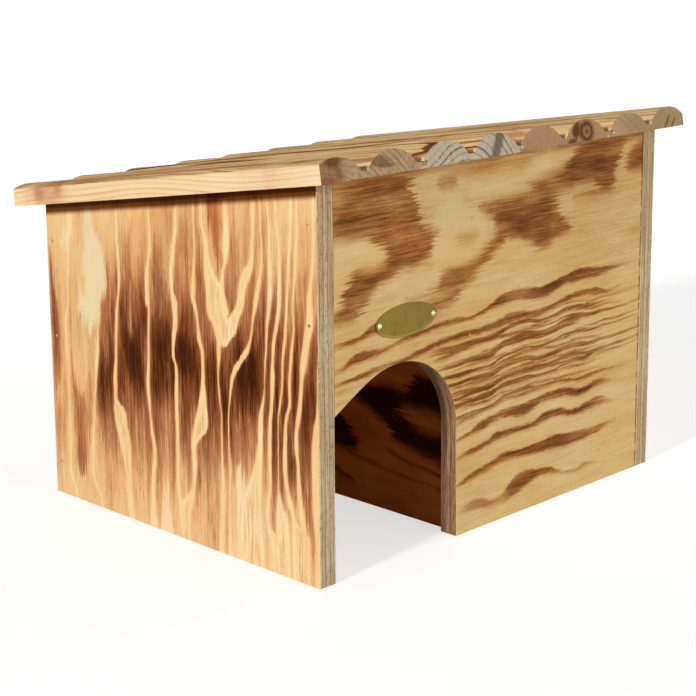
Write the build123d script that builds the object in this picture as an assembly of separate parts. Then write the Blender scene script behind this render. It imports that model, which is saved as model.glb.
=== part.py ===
from build123d import *
import math
import os

# A lean-to wooden hedgehog house: four plywood walls with no floor, an arched entrance at the left
# of the front, one inner wall that makes a dog-leg way in, and a roof lid of double half-round
# boards that hinges at the back. +X is right seen from the front, +Y is away from the viewer and
# +Z is up. The origin is under the middle of the bounding box, on the ground.

# Box, in millimetres
outer_width = 368.0
outer_depth = 289.0
front_height = 270.0
roof_slope_degrees = 8.9
wall_thickness = 15.0
edge_radius = 0.8

# Entrance, at the foot of the front wall beside the left wall
entrance_width = 121.0
entrance_height = 139.0
arch_radius = 58.0
arch_left_height = 114.4
shoulder_width_share = 0.235
shoulder_height_share = 0.936

# Inner wall
corridor_width = 127.5
passage_width = 110.0
inner_wall_drop = 18.0

# Roof boards, each with two half-rounds, joined by tongue and groove
board_count = 4
rounds_per_board = 2
ripped_width = 18.0
board_thickness = 16.0
valley_thickness = 4.7
valley_width = 6.0
round_centre_depth = 3.0
board_gap = 0.3
joint_offset = 2.9
side_overhang = 12.0
front_overhang = 17.5
back_overhang = 21.5
board_shift_shares = (0.0, 0.04, -0.03, 0.02)
tongue_reach = 7.0
tongue_thickness = 2.6
tongue_height = 1.9
tongue_clearance = 0.1
groove_extra_depth = 0.4

# Battens under the roof boards
batten_width = 30.0
batten_thickness = 12.0
batten_end_gap = 4.0
batten_wall_gap = 9.0
batten_screw_length = 20.0
batten_screw_radius = 1.75
batten_screw_head_radius = 3.5
batten_screw_head_height = 2.4

# Butt hinges between the back wall and the underside of the roof
hinge_round_numbers = (2, 7)
hinge_length = 50.0
leaf_reach = 15.0
leaf_thickness = 1.5
knuckle_radius = 4.0
knuckle_count = 3
knuckle_gap = 0.3
hinge_standoff = 0.4
pin_radius = 1.9
pin_running_clearance = 0.05
pin_head_radius = 2.8
pin_head_thickness = 1.0
hinge_screw_length = 9.0
hinge_screw_radius = 1.4
hinge_screw_head_radius = 2.8
hinge_screw_head_height = 1.4
hinge_screw_spacing = 30.0
hinge_screw_reach = 10.0

# Wire nails through the walls
nail_length = 35.0
nail_radius = 0.7
nail_head_radius = 1.2
nail_head_thickness = 0.8
nail_sink = 0.3
inner_wall_nail_height_shares = (0.130, 0.326, 0.537, 0.846)
back_nail_height_shares = (0.094, 0.260, 0.461, 0.730)
front_right_nail_height_shares = (0.110, 0.370, 0.657, 0.899)
front_left_nail_height_shares = (0.657, 0.899)

# Oval brass plate with two round-headed pins
plate_width = 60.0
plate_height = 22.6
plate_thickness = 1.0
plate_left_distance = 83.2
plate_centre_height = 168.2
plate_pin_inset = 3.4
plate_pin_radius = 0.7
plate_pin_head_radius = 1.6
plate_pin_length = 9.0

# Clearance of nails and screws in their holes, and how far cuts run past a face
hole_clearance = 0.05
overrun = 2.0

# Planes and places worked out from the sizes
slope = math.radians(roof_slope_degrees)
board_cover = (outer_width + 2 * side_overhang + ripped_width) / board_count
board_shifts = [share * front_overhang for share in board_shift_shares]
roof_front_reach = (front_overhang + max(board_shifts)) * math.cos(slope)
roof_back_reach = outer_depth + (back_overhang - min(board_shifts)) * math.cos(slope)
roof_back_reach += board_thickness * math.sin(slope)
front_y = (roof_front_reach - roof_back_reach) / 2
back_y = front_y + outer_depth
left_x = -outer_width / 2
right_x = outer_width / 2
inner_left_x = left_x + wall_thickness
inner_right_x = right_x - wall_thickness
inner_front_y = front_y + wall_thickness
inner_back_y = back_y - wall_thickness
inner_wall_left_x = inner_left_x + corridor_width
inner_wall_right_x = inner_wall_left_x + wall_thickness
inner_wall_back_y = inner_back_y - passage_width
roof_length = outer_depth / math.cos(slope) + front_overhang + back_overhang
roof_plane = Plane(
    origin=(0, front_y, front_height),
    x_dir=(1, 0, 0),
    z_dir=(0, math.sin(slope), math.cos(slope)),
)
on_base = (Align.CENTER, Align.CENTER, Align.MIN)
from_corner = (Align.MIN, Align.MIN, Align.MIN)


def roof_height(y):
    """Height of the roof's underside at the distance y."""
    return front_height - (y - front_y) * math.tan(slope)


def block(low, high):
    """A box between two corners."""
    size = [b - a for a, b in zip(low, high)]
    return Pos(*low) * Box(*size, align=from_corner)


def sloped_panel(left, right, front, back, drop=0):
    """An upright panel whose top follows the roof's underside, or lies a drop below it."""
    outline = Polygon(
        (front, 0),
        (back, 0),
        (back, roof_height(back) - drop),
        (front, roof_height(front) - drop),
        align=None,
    )
    panel = extrude(Plane.YZ * outline, amount=right - left)
    return Pos(left, 0, 0) * panel


def soften(panel):
    """Rounds the upright edges of a panel."""
    return fillet(panel.edges().filter_by(Axis.Z), edge_radius)


def entrance_cut():
    """The opening: a quarter circle over the right jamb and a long shoulder to the left wall."""
    jamb_x = inner_left_x + entrance_width
    crown = Vector(jamb_x - arch_radius, entrance_height)
    springing = Vector(jamb_x, entrance_height - arch_radius)
    shoulder = Vector(
        inner_left_x + entrance_width * shoulder_width_share,
        entrance_height * shoulder_height_share,
    )
    left_end = Vector(inner_left_x, arch_left_height)
    top_left = Spline(left_end, shoulder, crown, tangents=(shoulder - left_end, Vector(1, 0)))
    top_right = RadiusArc(crown, springing, arch_radius)
    rest = Polyline(
        springing,
        (jamb_x, -overrun),
        (inner_left_x - overrun, -overrun),
        (inner_left_x - overrun, arch_left_height),
        left_end,
    )
    outline = make_face(Curve() + [top_left, top_right, rest])
    through = extrude(Plane.XZ * outline, amount=-wall_thickness - 2 * overrun)
    return Pos(0, front_y - overrun, 0) * through


def nail(clearance=0, mouth=0):
    """A wire nail along +Z, its head sunk under the face at zero, or the hole that it needs."""
    head = Cylinder(
        nail_head_radius + clearance, nail_head_thickness + mouth, align=on_base
    )
    shank = Cylinder(nail_radius + clearance, nail_length + clearance, align=on_base)
    return Pos(0, 0, nail_sink - mouth) * head + Pos(0, 0, nail_sink) * shank


def screw(length, radius, head_radius, head_height, clearance=0):
    """A countersunk wood screw along +Z with its head flush at zero, or the hole that it needs."""
    head = Cone(head_radius + clearance, radius + clearance, head_height, align=on_base)
    shank = Cylinder(radius + clearance, length + clearance, align=on_base)
    return head + shank


def front_nail_planes():
    """Where the front wall is nailed to the inner wall."""
    x = (inner_wall_left_x + inner_wall_right_x) / 2
    heights = [share * front_height for share in inner_wall_nail_height_shares]
    return [Plane(origin=(x, front_y, z), z_dir=(0, 1, 0)) for z in heights]


def side_nail_planes(x, inwards, front_shares):
    """Where a side wall is nailed to the front and back walls."""
    places = [(front_y + wall_thickness / 2, share) for share in front_shares]
    places += [(back_y - wall_thickness / 2, share) for share in back_nail_height_shares]
    return [
        Plane(origin=(x, y, share * front_height), z_dir=(inwards, 0, 0))
        for y, share in places
    ]


def board_solid(number):
    """One roof board in the roof's plane, with its tongue at the right and groove at the left."""
    left = (number - board_count / 2) * board_cover - joint_offset
    spacing = board_cover / rounds_per_board
    half_height = board_thickness + round_centre_depth
    foot_ratio = (valley_thickness + round_centre_depth) / half_height
    half_width = (spacing - valley_width) / 2 / math.sqrt(1 - foot_ratio**2)
    corner = (Align.MIN, Align.MIN)
    profile = Rectangle(board_cover - board_gap, valley_thickness, align=corner)
    for index in range(rounds_per_board):
        crest = spacing * (index + 1 / 2)
        profile += Pos(crest, -round_centre_depth) * Ellipse(half_width, half_height)
    profile &= Rectangle(board_cover, board_thickness + overrun, align=corner)
    tongue_low = tongue_height - tongue_clearance
    groove = Rectangle(
        tongue_reach + groove_extra_depth + overrun,
        valley_thickness + tongue_clearance - tongue_low,
        align=corner,
    )
    profile -= Pos(-overrun, tongue_low) * groove
    tongue = Rectangle(tongue_reach + overrun, tongue_thickness, align=corner)
    profile += Pos(board_cover - board_gap - overrun, tongue_height) * tongue
    board = extrude(Plane.XZ * profile, amount=-roof_length)
    start = -front_overhang - board_shifts[number]
    board = Pos(left, start, 0) * board
    edge = outer_width / 2 + side_overhang
    whole = block(
        (-edge, start - overrun, -overrun),
        (edge, start + roof_length + overrun, board_thickness + overrun),
    )
    return board & whole


def round_x(number):
    """The place across the roof of one half-round's crest, counted from 1 at the left."""
    spacing = board_cover / rounds_per_board
    first = spacing / 2 - board_count * board_cover / 2 - joint_offset
    return first + (number - 1) * spacing


def batten_starts():
    """The front edge of each batten, along the slope."""
    front = (inner_front_y - front_y + batten_wall_gap) / math.cos(slope)
    back = (inner_back_y - front_y - batten_wall_gap) / math.cos(slope) - batten_width
    return {"front": front, "back": back}


def batten_solid(start):
    """A batten across the underside of the roof."""
    end = inner_right_x - batten_end_gap
    return block((-end, start, -batten_thickness), (end, start + batten_width, 0))


def batten_screw_places():
    """The screws of both battens, one under each half-round that a batten passes."""
    end = inner_right_x - batten_end_gap
    rounds = range(1, board_count * rounds_per_board + 1)
    crests = [round_x(n) for n in rounds if abs(round_x(n)) < end - batten_screw_head_radius]
    starts = batten_starts().values()
    return [Pos(x, s + batten_width / 2, -batten_thickness) for s in starts for x in crests]


def hinge_planes(x):
    """The wall leaf's and the roof leaf's planes: origin on the pin, +Y along the leaf."""
    distance = knuckle_radius + hinge_standoff
    y = back_y + distance
    z = roof_height(y) - distance / math.cos(slope)
    wall = Plane(origin=(x, y, z), x_dir=(-1, 0, 0), z_dir=(0, -1, 0))
    roof = Plane(origin=(x, y, z), x_dir=(1, 0, 0), z_dir=roof_plane.z_dir)
    return wall, roof


def knuckle(index, radius, gap):
    """One knuckle, or the room round it, on the pin's axis."""
    share = hinge_length / knuckle_count
    middle = (index + 1 / 2) * share - hinge_length / 2
    barrel = Cylinder(radius, share + 2 * gap, rotation=(0, 90, 0))
    return Pos(middle, 0, 0) * barrel


def leaf_screw_places():
    """The two screws of a leaf, with their heads on its open side."""
    z = knuckle_radius + hinge_standoff - leaf_thickness
    half = hinge_screw_spacing / 2
    return [Pos(x, hinge_screw_reach, z) for x in (-half, half)]


def hinge_screw(clearance=0):
    """A small screw of the hinge, or its hole."""
    return screw(
        hinge_screw_length,
        hinge_screw_radius,
        hinge_screw_head_radius,
        hinge_screw_head_height,
        clearance,
    )


def leaf_solid(own_first):
    """A hinge leaf: the wall leaf holds the outer knuckles, the roof leaf the one between."""
    surface = knuckle_radius + hinge_standoff
    half = hinge_length / 2
    leaf = block((-half, 0, surface - leaf_thickness), (half, leaf_reach, surface))
    own = [n for n in range(knuckle_count) if (n % 2 == 0) == own_first]
    others = [n for n in range(knuckle_count) if n not in own]
    for index in others:
        room = knuckle(index, knuckle_radius + knuckle_gap + hinge_standoff, knuckle_gap / 2)
        leaf -= room
    for index in own:
        leaf += knuckle(index, knuckle_radius, -knuckle_gap / 2)
    leaf -= Cylinder(
        pin_radius + pin_running_clearance, hinge_length + 2 * overrun, rotation=(0, 90, 0)
    )
    for place in leaf_screw_places():
        leaf -= place * hinge_screw(hole_clearance)
    return leaf


def hinge_pin():
    """The hinge's pin with a flat head past each end."""
    pin = Cylinder(pin_radius, hinge_length + 2 * pin_head_thickness, rotation=(0, 90, 0))
    for side in (-1, 1):
        middle = side * (hinge_length + pin_head_thickness + knuckle_gap) / 2
        pin += Pos(middle, 0, 0) * Cylinder(
            pin_head_radius, pin_head_thickness, rotation=(0, 90, 0)
        )
    return pin


def plate_pin_planes():
    """Where the brass plate is pinned to the front wall."""
    middle = left_x + plate_left_distance
    half = plate_width / 2 - plate_pin_inset
    return [
        Plane(origin=(middle + side * half, front_y, plate_centre_height), z_dir=(0, 1, 0))
        for side in (-1, 1)
    ]


def plate_pin(clearance=0):
    """A round-headed pin along +Z, with its head on the plate's face."""
    shank = Cylinder(plate_pin_radius + clearance, plate_pin_length, align=on_base)
    shank = Pos(0, 0, -plate_thickness) * shank
    if clearance:
        return shank
    dome = Sphere(plate_pin_head_radius)
    size = plate_pin_head_radius + overrun
    dome &= block((-size, -size, -size), (size, size, 0))
    return Pos(0, 0, -plate_thickness) * dome + shank


def plate_solid():
    """The oval plate on the front wall's face."""
    oval = Ellipse(plate_width / 2, plate_height / 2)
    plate = extrude(Plane.XZ * oval, amount=plate_thickness)
    return Pos(left_x + plate_left_distance, front_y, plate_centre_height) * plate


parts = {
    "left_wall": soften(sloped_panel(left_x, inner_left_x, front_y, back_y)),
    "right_wall": soften(sloped_panel(inner_right_x, right_x, front_y, back_y)),
    "front_wall": soften(
        sloped_panel(inner_left_x, inner_right_x, front_y, inner_front_y) - entrance_cut()
    ),
    "back_wall": soften(sloped_panel(inner_left_x, inner_right_x, inner_back_y, back_y)),
    "inner_wall": sloped_panel(
        inner_wall_left_x, inner_wall_right_x, inner_front_y, inner_wall_back_y, inner_wall_drop
    ),
    "brass_plate": plate_solid(),
}
for number in range(board_count):
    parts[f"roof_board_{number + 1}"] = roof_plane * board_solid(number)
for name, start in batten_starts().items():
    parts[f"roof_batten_{name}"] = roof_plane * batten_solid(start)

nail_groups = {
    "front_wall_nails": (("front_wall", "inner_wall"), front_nail_planes()),
    "left_wall_nails": (
        ("left_wall", "front_wall", "back_wall"),
        side_nail_planes(left_x, 1, front_left_nail_height_shares),
    ),
    "right_wall_nails": (
        ("right_wall", "front_wall", "back_wall"),
        side_nail_planes(right_x, -1, front_right_nail_height_shares),
    ),
}
for group, (holders, planes) in nail_groups.items():
    parts[group] = Compound([plane * nail() for plane in planes])
    for plane in planes:
        for holder in holders:
            parts[holder] -= plane * nail(hole_clearance, overrun)

board_names = [f"roof_board_{number + 1}" for number in range(board_count)]
lid_holders = board_names + [f"roof_batten_{name}" for name in batten_starts()]
batten_screw = (
    batten_screw_length,
    batten_screw_radius,
    batten_screw_head_radius,
    batten_screw_head_height,
)
screw_places = batten_screw_places()
parts["batten_screws"] = Compound(
    [roof_plane * place * screw(*batten_screw) for place in screw_places]
)
for place in screw_places:
    hole = roof_plane * place * screw(*batten_screw, hole_clearance)
    for holder in lid_holders:
        parts[holder] -= hole

wall_screws = []
roof_screws = []
for side, round_number in zip(("left", "right"), hinge_round_numbers):
    wall_plane, leaf_plane = hinge_planes(round_x(round_number))
    parts[f"{side}_hinge_wall_leaf"] = wall_plane * leaf_solid(True)
    parts[f"{side}_hinge_roof_leaf"] = leaf_plane * leaf_solid(False)
    parts[f"{side}_hinge_pin"] = wall_plane * hinge_pin()
    for place in leaf_screw_places():
        wall_screws.append(wall_plane * place * hinge_screw())
        roof_screws.append(leaf_plane * place * hinge_screw())
        parts["back_wall"] -= wall_plane * place * hinge_screw(hole_clearance)
        for holder in board_names:
            parts[holder] -= leaf_plane * place * hinge_screw(hole_clearance)
parts["hinge_wall_screws"] = Compound(wall_screws)
parts["hinge_roof_screws"] = Compound(roof_screws)

pins = plate_pin_planes()
parts["plate_pins"] = Compound([plane * plate_pin() for plane in pins])
for plane in pins:
    for holder in ("brass_plate", "front_wall"):
        parts[holder] -= plane * plate_pin(hole_clearance)

os.makedirs("parts", exist_ok=True)
for name, shape in parts.items():
    export_step(shape, f"parts/{name}.step")
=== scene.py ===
import bpy
import math
from mathutils import Matrix, Vector


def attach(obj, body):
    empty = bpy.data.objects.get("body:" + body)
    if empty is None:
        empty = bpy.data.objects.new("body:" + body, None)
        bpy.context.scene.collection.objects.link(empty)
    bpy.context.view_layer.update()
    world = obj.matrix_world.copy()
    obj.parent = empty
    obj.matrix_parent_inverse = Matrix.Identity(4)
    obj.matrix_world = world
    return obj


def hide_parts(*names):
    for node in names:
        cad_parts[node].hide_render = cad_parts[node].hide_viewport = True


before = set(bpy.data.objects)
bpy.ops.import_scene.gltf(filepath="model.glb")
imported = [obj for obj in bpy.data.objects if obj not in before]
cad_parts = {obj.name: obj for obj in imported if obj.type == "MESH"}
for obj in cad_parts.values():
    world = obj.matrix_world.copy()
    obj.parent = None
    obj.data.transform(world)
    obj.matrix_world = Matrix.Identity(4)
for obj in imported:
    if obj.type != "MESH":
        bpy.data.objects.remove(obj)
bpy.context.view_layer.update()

# Sizes that the finishes and pieces share with the part, in millimetres unless named otherwise
MM = 0.001
SHEET = 400.0
SHEETS_PER_METRE = 1000.0 / SHEET
LEFT_X = -184.0
RIGHT_X = 184.0
FRONT_Y = -147.627
BACK_Y = 141.373
WALL = 15.0
INNER_WALL_X = -41.5
FRONT_HEIGHT = 270.0
ROOF_SLOPE = math.radians(8.9)
SLOPE_COSINE = math.cos(ROOF_SLOPE)
SLOPE_SINE = math.sin(ROOF_SLOPE)
ROUND_SPACING = 51.25
FIRST_CREST = -182.275


def shade(red, green, blue):
    """A colour as it is seen on screen, 0 to 255, as Blender's linear values."""
    linear = []
    for value in (red, green, blue):
        share = value / 255
        linear.append(share / 12.92 if share <= 0.04045 else ((share + 0.055) / 1.055) ** 2.4)
    return (*linear, 1.0)


class Finish:
    """A finish being mixed: each call adds a node to its material and gives back the result."""

    def __init__(self, name):
        self.material = bpy.data.materials.new(name)
        self.material.use_nodes = True
        self.nodes = self.material.node_tree.nodes
        self.links = self.material.node_tree.links
        self.nodes.clear()
        coordinates = self.nodes.new("ShaderNodeTexCoord")
        self.place = coordinates.outputs["Object"]
        self.facing = coordinates.outputs["Normal"]

    def give(self, socket, value):
        if isinstance(value, bpy.types.NodeSocket):
            self.links.new(value, socket)
        else:
            socket.default_value = value

    def calc(self, operation, first, second=0.0, third=0.0):
        node = self.nodes.new("ShaderNodeMath")
        node.operation = operation
        for socket, value in zip(node.inputs, (first, second, third)):
            self.give(socket, value)
        return node.outputs[0]

    def chain(self, operation, values):
        """Joins any number of values by one operation, from left to right."""
        result = values[0]
        for value in values[1:]:
            result = self.calc(operation, result, value)
        return result

    def add(self, *values):
        return self.chain("ADD", values)

    def less(self, first, second):
        return self.calc("SUBTRACT", first, second)

    def times(self, *values):
        return self.chain("MULTIPLY", values)

    def most(self, *values):
        return self.chain("MAXIMUM", values)

    def least(self, *values):
        return self.chain("MINIMUM", values)

    def size(self, value):
        return self.calc("ABSOLUTE", value)

    def scaled(self, value, factor, offset):
        return self.calc("MULTIPLY_ADD", value, factor, offset)

    def nudged(self, value, noise, reach):
        """Moves a value by a noise, up to half the reach either way."""
        return self.add(value, self.scaled(noise, reach, -reach / 2))

    def step(self, value, low, high, start=0.0, end=1.0):
        """A soft change from start to end while the value goes from low to high."""
        node = self.nodes.new("ShaderNodeMapRange")
        node.interpolation_type = "SMOOTHSTEP"
        for socket, item in zip(node.inputs, (value, low, high, start, end)):
            self.give(socket, item)
        return node.outputs[0]

    def between(self, value, low, high, start=0.0, end=1.0):
        """The same soft change for a share of the sheet, with its limits in millimetres."""
        return self.step(value, low / SHEET, high / SHEET, start, end)

    def parts(self, vector):
        node = self.nodes.new("ShaderNodeSeparateXYZ")
        self.give(node.inputs[0], vector)
        return node.outputs[0], node.outputs[1], node.outputs[2]

    def vector(self, x, y, z):
        node = self.nodes.new("ShaderNodeCombineXYZ")
        for socket, value in zip(node.inputs, (x, y, z)):
            self.give(socket, value)
        return node.outputs[0]

    def noise(self, x, y, z, detail=2.0, roughness=0.5):
        """Soft noise: each way takes a number, or a value with how fast the noise runs along it."""
        ways = [self.times(*way) if isinstance(way, tuple) else way for way in (x, y, z)]
        node = self.nodes.new("ShaderNodeTexNoise")
        self.give(node.inputs["Vector"], self.vector(*ways))
        node.inputs["Scale"].default_value = 1.0
        node.inputs["Detail"].default_value = detail
        node.inputs["Roughness"].default_value = roughness
        return node.outputs["Fac"]

    def curve(self, value, points):
        """A smooth line through given points, each from 0 to 1 both ways."""
        node = self.nodes.new("ShaderNodeFloatCurve")
        mapping = node.mapping
        mapping.extend = "HORIZONTAL"
        line = mapping.curves[0].points
        line[0].location = points[0]
        line[1].location = points[-1]
        for spot in points[1:-1]:
            line.new(*spot)
        for spot in line:
            spot.handle_type = "AUTO_CLAMPED"
        mapping.update()
        self.give(node.inputs["Value"], value)
        return node.outputs[0]

    def edges(self, along, rows):
        """The low and the high edge of a shape: rows of (along, low edge, high edge) in mm."""
        shares = [[max(measure, 0) / SHEET for measure in row] for row in rows]
        low = self.curve(along, [(place, edge) for place, edge, _ in shares])
        high = self.curve(along, [(place, edge) for place, _, edge in shares])
        return low, high

    def band(self, along, across, rows, closed=True, taper=4):
        """How deep a place lies inside a shape, whose ends close over a taper in mm."""
        if closed:
            start = sum(rows[0][1:]) / 2
            end = sum(rows[-1][1:]) / 2
            before = (rows[0][0] - taper, start + taper, start - taper)
            after = (rows[-1][0] + taper, end + taper, end - taper)
            rows = [before, *rows, after]
        low, high = self.edges(along, rows)
        return self.least(self.less(across, low), self.less(high, across))

    def shapes(self, along, across, outlines, taper=4):
        """How deep a place lies inside the nearest of several shapes."""
        return self.most(*[self.band(along, across, rows, taper=taper) for rows in outlines])

    def tones(self, value, stops):
        node = self.nodes.new("ShaderNodeValToRGB")
        ramp = node.color_ramp
        ramp.elements[0].position = stops[0][0]
        ramp.elements[0].color = stops[0][1]
        ramp.elements[1].position = stops[-1][0]
        ramp.elements[1].color = stops[-1][1]
        for position, colour in stops[1:-1]:
            ramp.elements.new(position).color = colour
        self.give(node.inputs[0], value)
        return node.outputs[0]

    def mix(self, factor, first, second, way="MIX"):
        node = self.nodes.new("ShaderNodeMix")
        node.data_type = "RGBA"
        node.blend_type = way
        self.give(node.inputs[0], factor)
        self.give(node.inputs[6], first)
        self.give(node.inputs[7], second)
        return node.outputs[2]

    def mix_value(self, factor, first, second):
        node = self.nodes.new("ShaderNodeMix")
        node.data_type = "FLOAT"
        self.give(node.inputs[0], factor)
        self.give(node.inputs[2], first)
        self.give(node.inputs[3], second)
        return node.outputs[0]

    def surface(self, colour, roughness, height, depth, metallic=0.0, gloss=0.5):
        """Joins the colour, roughness and relief into the shader; depth is the relief in metres."""
        shader = self.nodes.new("ShaderNodeBsdfPrincipled")
        self.give(shader.inputs["Base Color"], colour)
        self.give(shader.inputs["Roughness"], roughness)
        shader.inputs["Metallic"].default_value = metallic
        shader.inputs["Specular IOR Level"].default_value = gloss
        bump = self.nodes.new("ShaderNodeBump")
        bump.inputs["Distance"].default_value = depth
        self.give(bump.inputs["Height"], height)
        self.links.new(bump.outputs[0], shader.inputs["Normal"])
        output = self.nodes.new("ShaderNodeOutputMaterial")
        self.links.new(shader.outputs[0], output.inputs["Surface"])
        return self.material


# Scorched plywood

LEFT_TONES = [
    (0.00, shade(255, 232, 178)),
    (0.14, shade(247, 208, 149)),
    (0.30, shade(232, 180, 123)),
    (0.46, shade(194, 134, 88)),
    (0.62, shade(155, 95, 57)),
    (0.80, shade(111, 58, 26)),
    (1.00, shade(62, 24, 3)),
]
FRONT_TONES = [
    (0.00, shade(248, 225, 166)),
    (0.14, shade(241, 209, 143)),
    (0.30, shade(223, 177, 110)),
    (0.46, shade(193, 136, 76)),
    (0.62, shade(157, 98, 48)),
    (0.80, shade(117, 66, 27)),
    (1.00, shade(75, 36, 9)),
]

# The tables below are given in millimetres. On the left wall each row gives a height
# and the two edges there, measured forward from the wall's back edge. On the front wall each row
# gives a place from its left corner and the lower and upper edge there.

# Light lines of the left wall
LEFT_LINES = [
    [(0, 22, 28), (10, 20, 26), (20, 16.5, 22), (40, 16, 23), (60, 17, 23.5), (80, 18.5, 22),
     (100, 19, 22.5), (120, 17, 22), (140, 18, 23), (150, 22, 25.5), (170, 23, 26.5),
     (190, 23.5, 28), (200, 22, 30), (210, 25, 33), (222, 26, 34)],
    [(0, 55, 60), (10, 52, 58), (20, 45, 51), (40, 43, 50), (50, 45, 51), (70, 49, 52.5),
     (80, 50, 53), (100, 52, 56), (110, 53, 58), (120, 55, 60), (140, 58, 61), (152, 59, 63)],
    [(0, 88, 96), (20, 86, 94), (40, 84, 94), (60, 78, 93), (72, 75, 90), (80, 74, 89),
     (90, 75, 80), (100, 75, 80.5), (110, 76, 81), (120, 77.5, 81.5), (140, 79, 83),
     (160, 81, 85), (170, 83.5, 87), (190, 84, 88), (210, 83, 87), (230, 84, 87)],
    [(0, 112, 122), (20, 114, 121), (40, 115.5, 122), (60, 118, 123.5), (70, 117, 121.5),
     (80, 115.5, 119.5), (90, 114.5, 118), (105, 113, 118), (120, 114.5, 118.5),
     (140, 116, 119.5), (160, 117, 120.5), (170, 114, 120), (180, 114, 119.5),
     (190, 115, 120.5), (200, 118, 122), (210, 119.5, 124), (236, 119, 122.5)],
    [(0, 149, 160), (20, 145, 160), (30, 144, 150), (50, 143.5, 149), (80, 144, 149),
     (110, 144.5, 149.5), (125, 145, 149), (135, 142.5, 146.5), (145, 143, 148),
     (160, 144.5, 151), (170, 144, 151), (180, 142, 147.5), (190, 141.5, 147),
     (200, 143, 149), (220, 147, 151.5), (240, 149, 152)],
    [(0, 148, 160), (20, 148, 160), (30, 151, 163.5), (40, 160.5, 165.5), (60, 161.5, 167.5),
     (70, 161, 167.5), (76, 161.8, 170), (81, 163, 174.5), (85, 164, 178.5), (90, 165.5, 180.5),
     (96, 167.5, 180.5), (104, 169.5, 179.5), (112, 171.2, 178.5), (122, 172.5, 177.5),
     (140, 173.5, 178), (150, 170.5, 176), (160, 170, 174),
     (170, 168, 172.5), (180, 164, 170), (200, 167, 170.5), (220, 168.5, 171), (244, 168.5, 171)],
    [(0, 188, 196), (20, 189.5, 196), (40, 190.5, 197), (60, 192, 196.5), (80, 192.5, 195.5),
     (100, 193, 195.5), (110, 191, 194), (125, 190, 193), (140, 190, 194.5), (150, 190, 197),
     (156, 189, 206), (162, 187, 210), (170, 182, 203), (180, 181, 200), (190, 180, 198),
     (200, 179, 190), (212, 179, 186), (222, 178, 184), (232, 176, 180), (248, 176, 181)],
    [(150, 195, 201), (156, 197, 207), (163, 199, 212), (170, 203, 214.5), (180, 210, 219.5),
     (190, 213, 221.5), (200, 215.5, 226), (206, 219, 228.5), (212, 223.5, 230),
     (230, 226, 231.5), (252, 227.5, 232.5)],
    [(172, 199, 204), (190, 194.5, 200), (200, 196, 200.5), (210, 199, 204), (220, 198, 206),
     (230, 199, 206.5), (250, 200, 206)],
    [(0, 197.5, 205), (20, 198.5, 203), (40, 199.5, 203), (60, 200, 203.5), (80, 200, 202.5),
     (100, 200.5, 203), (110, 201.2, 204), (120, 202.3, 206), (125, 203.2, 207.5),
     (130, 204.5, 209.5), (135, 207, 212.5), (140, 210, 216), (145, 214, 220.5),
     (150, 218, 224), (155, 221.5, 226), (160, 224, 227.5), (172, 226, 229.2),
     (180, 227.2, 231.8), (190, 229, 234.3), (200, 232, 237), (210, 235.5, 239.2),
     (222, 236.3, 239.4), (240, 234.8, 238.2), (254, 234.5, 238)],
    [(0, 212, 236), (24, 210, 235), (44, 213, 234), (60, 221, 234.5), (74, 226, 235.5),
     (82, 228, 236), (90, 230, 236.5),
     (100, 230.5, 237), (110, 231.5, 237), (120, 235, 238), (130, 237.5, 239.2),
     (150, 238.5, 241.5), (170, 239.5, 243.5), (180, 240.8, 245.5), (200, 242.3, 248),
     (230, 243.2, 247.5), (256, 241, 245)],
    [(0, 242, 262), (20, 240, 262), (30, 237, 244), (40, 236, 242), (50, 238, 242.5),
     (60, 240, 244), (80, 240, 245), (100, 240.5, 245.5), (120, 242.5, 247), (135, 244, 249),
     (150, 245.5, 249.5), (160, 246, 250.5), (170, 248, 253), (180, 250, 255),
     (200, 252.2, 256.8), (220, 252.6, 256.4), (240, 250.6, 254.6), (258, 249.4, 253.4)],
    [(20, 247, 262), (40, 247, 260), (52, 248, 254), (62, 249, 252), (90, 250, 252),
     (110, 250, 252.5), (120, 251.5, 254.5), (135, 254, 257), (150, 255, 258.5),
     (170, 257.4, 261.4), (190, 259.4, 262.6), (210, 261, 264.6), (230, 262.2, 266.6),
     (260, 264, 268)],
    [(0, 262, 281), (30, 262, 281), (42, 262, 268), (52, 258, 265), (60, 256.5, 262),
     (80, 255, 260), (100, 255.5, 260), (112, 257, 261), (120, 259.5, 263.5), (140, 261, 264.5),
     (155, 262.5, 266.5), (175, 265.5, 268.5), (190, 265, 268), (210, 266.5, 270),
     (230, 268.5, 272), (262, 270, 273.5)],
    [(20, 269, 281), (36, 269.5, 278), (50, 268.5, 275), (60, 267.5, 273), (80, 267, 271),
     (100, 265.5, 270), (112, 267, 272.5), (125, 269.5, 274.5), (140, 271, 276),
     (152, 272, 279), (165, 275, 282), (180, 278, 286), (200, 279.5, 285), (220, 283, 288),
     (262, 284, 289)],
    [(0, 283, 291), (30, 284, 291), (50, 282, 291), (80, 281.5, 291), (95, 282, 291),
     (110, 284.5, 291), (120, 286.5, 291), (140, 287.5, 291), (160, 289, 291)],
]

# Pale patches of the left wall
LEFT_PATCHES = [
    [(138, 96.5, 98), (150, 96, 99.3), (165, 96, 100), (180, 97, 99.6)],
    [(0, 206, 222), (30, 205, 222), (56, 206, 218), (70, 208, 214)],
    [(136, 47, 52), (141, 42, 59), (147, 38, 62), (153, 34, 64), (162, 41, 67), (172, 43, 70.5),
     (186, 42.5, 71), (200, 45, 69), (215, 46, 58), (230, 47, 56)],
    [(148, 33.5, 40), (160, 34.5, 40.5), (170, 36, 39.5), (176, 37, 39)],
    [(196, 15, 25), (203, 16, 27)],
    [(0, 124, 141), (10, 125, 140), (20, 126.5, 139), (30, 128.5, 138), (40, 131, 136),
     (48, 133, 134)],
    [(98, 41, 44), (118, 42, 44)],
]

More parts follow.
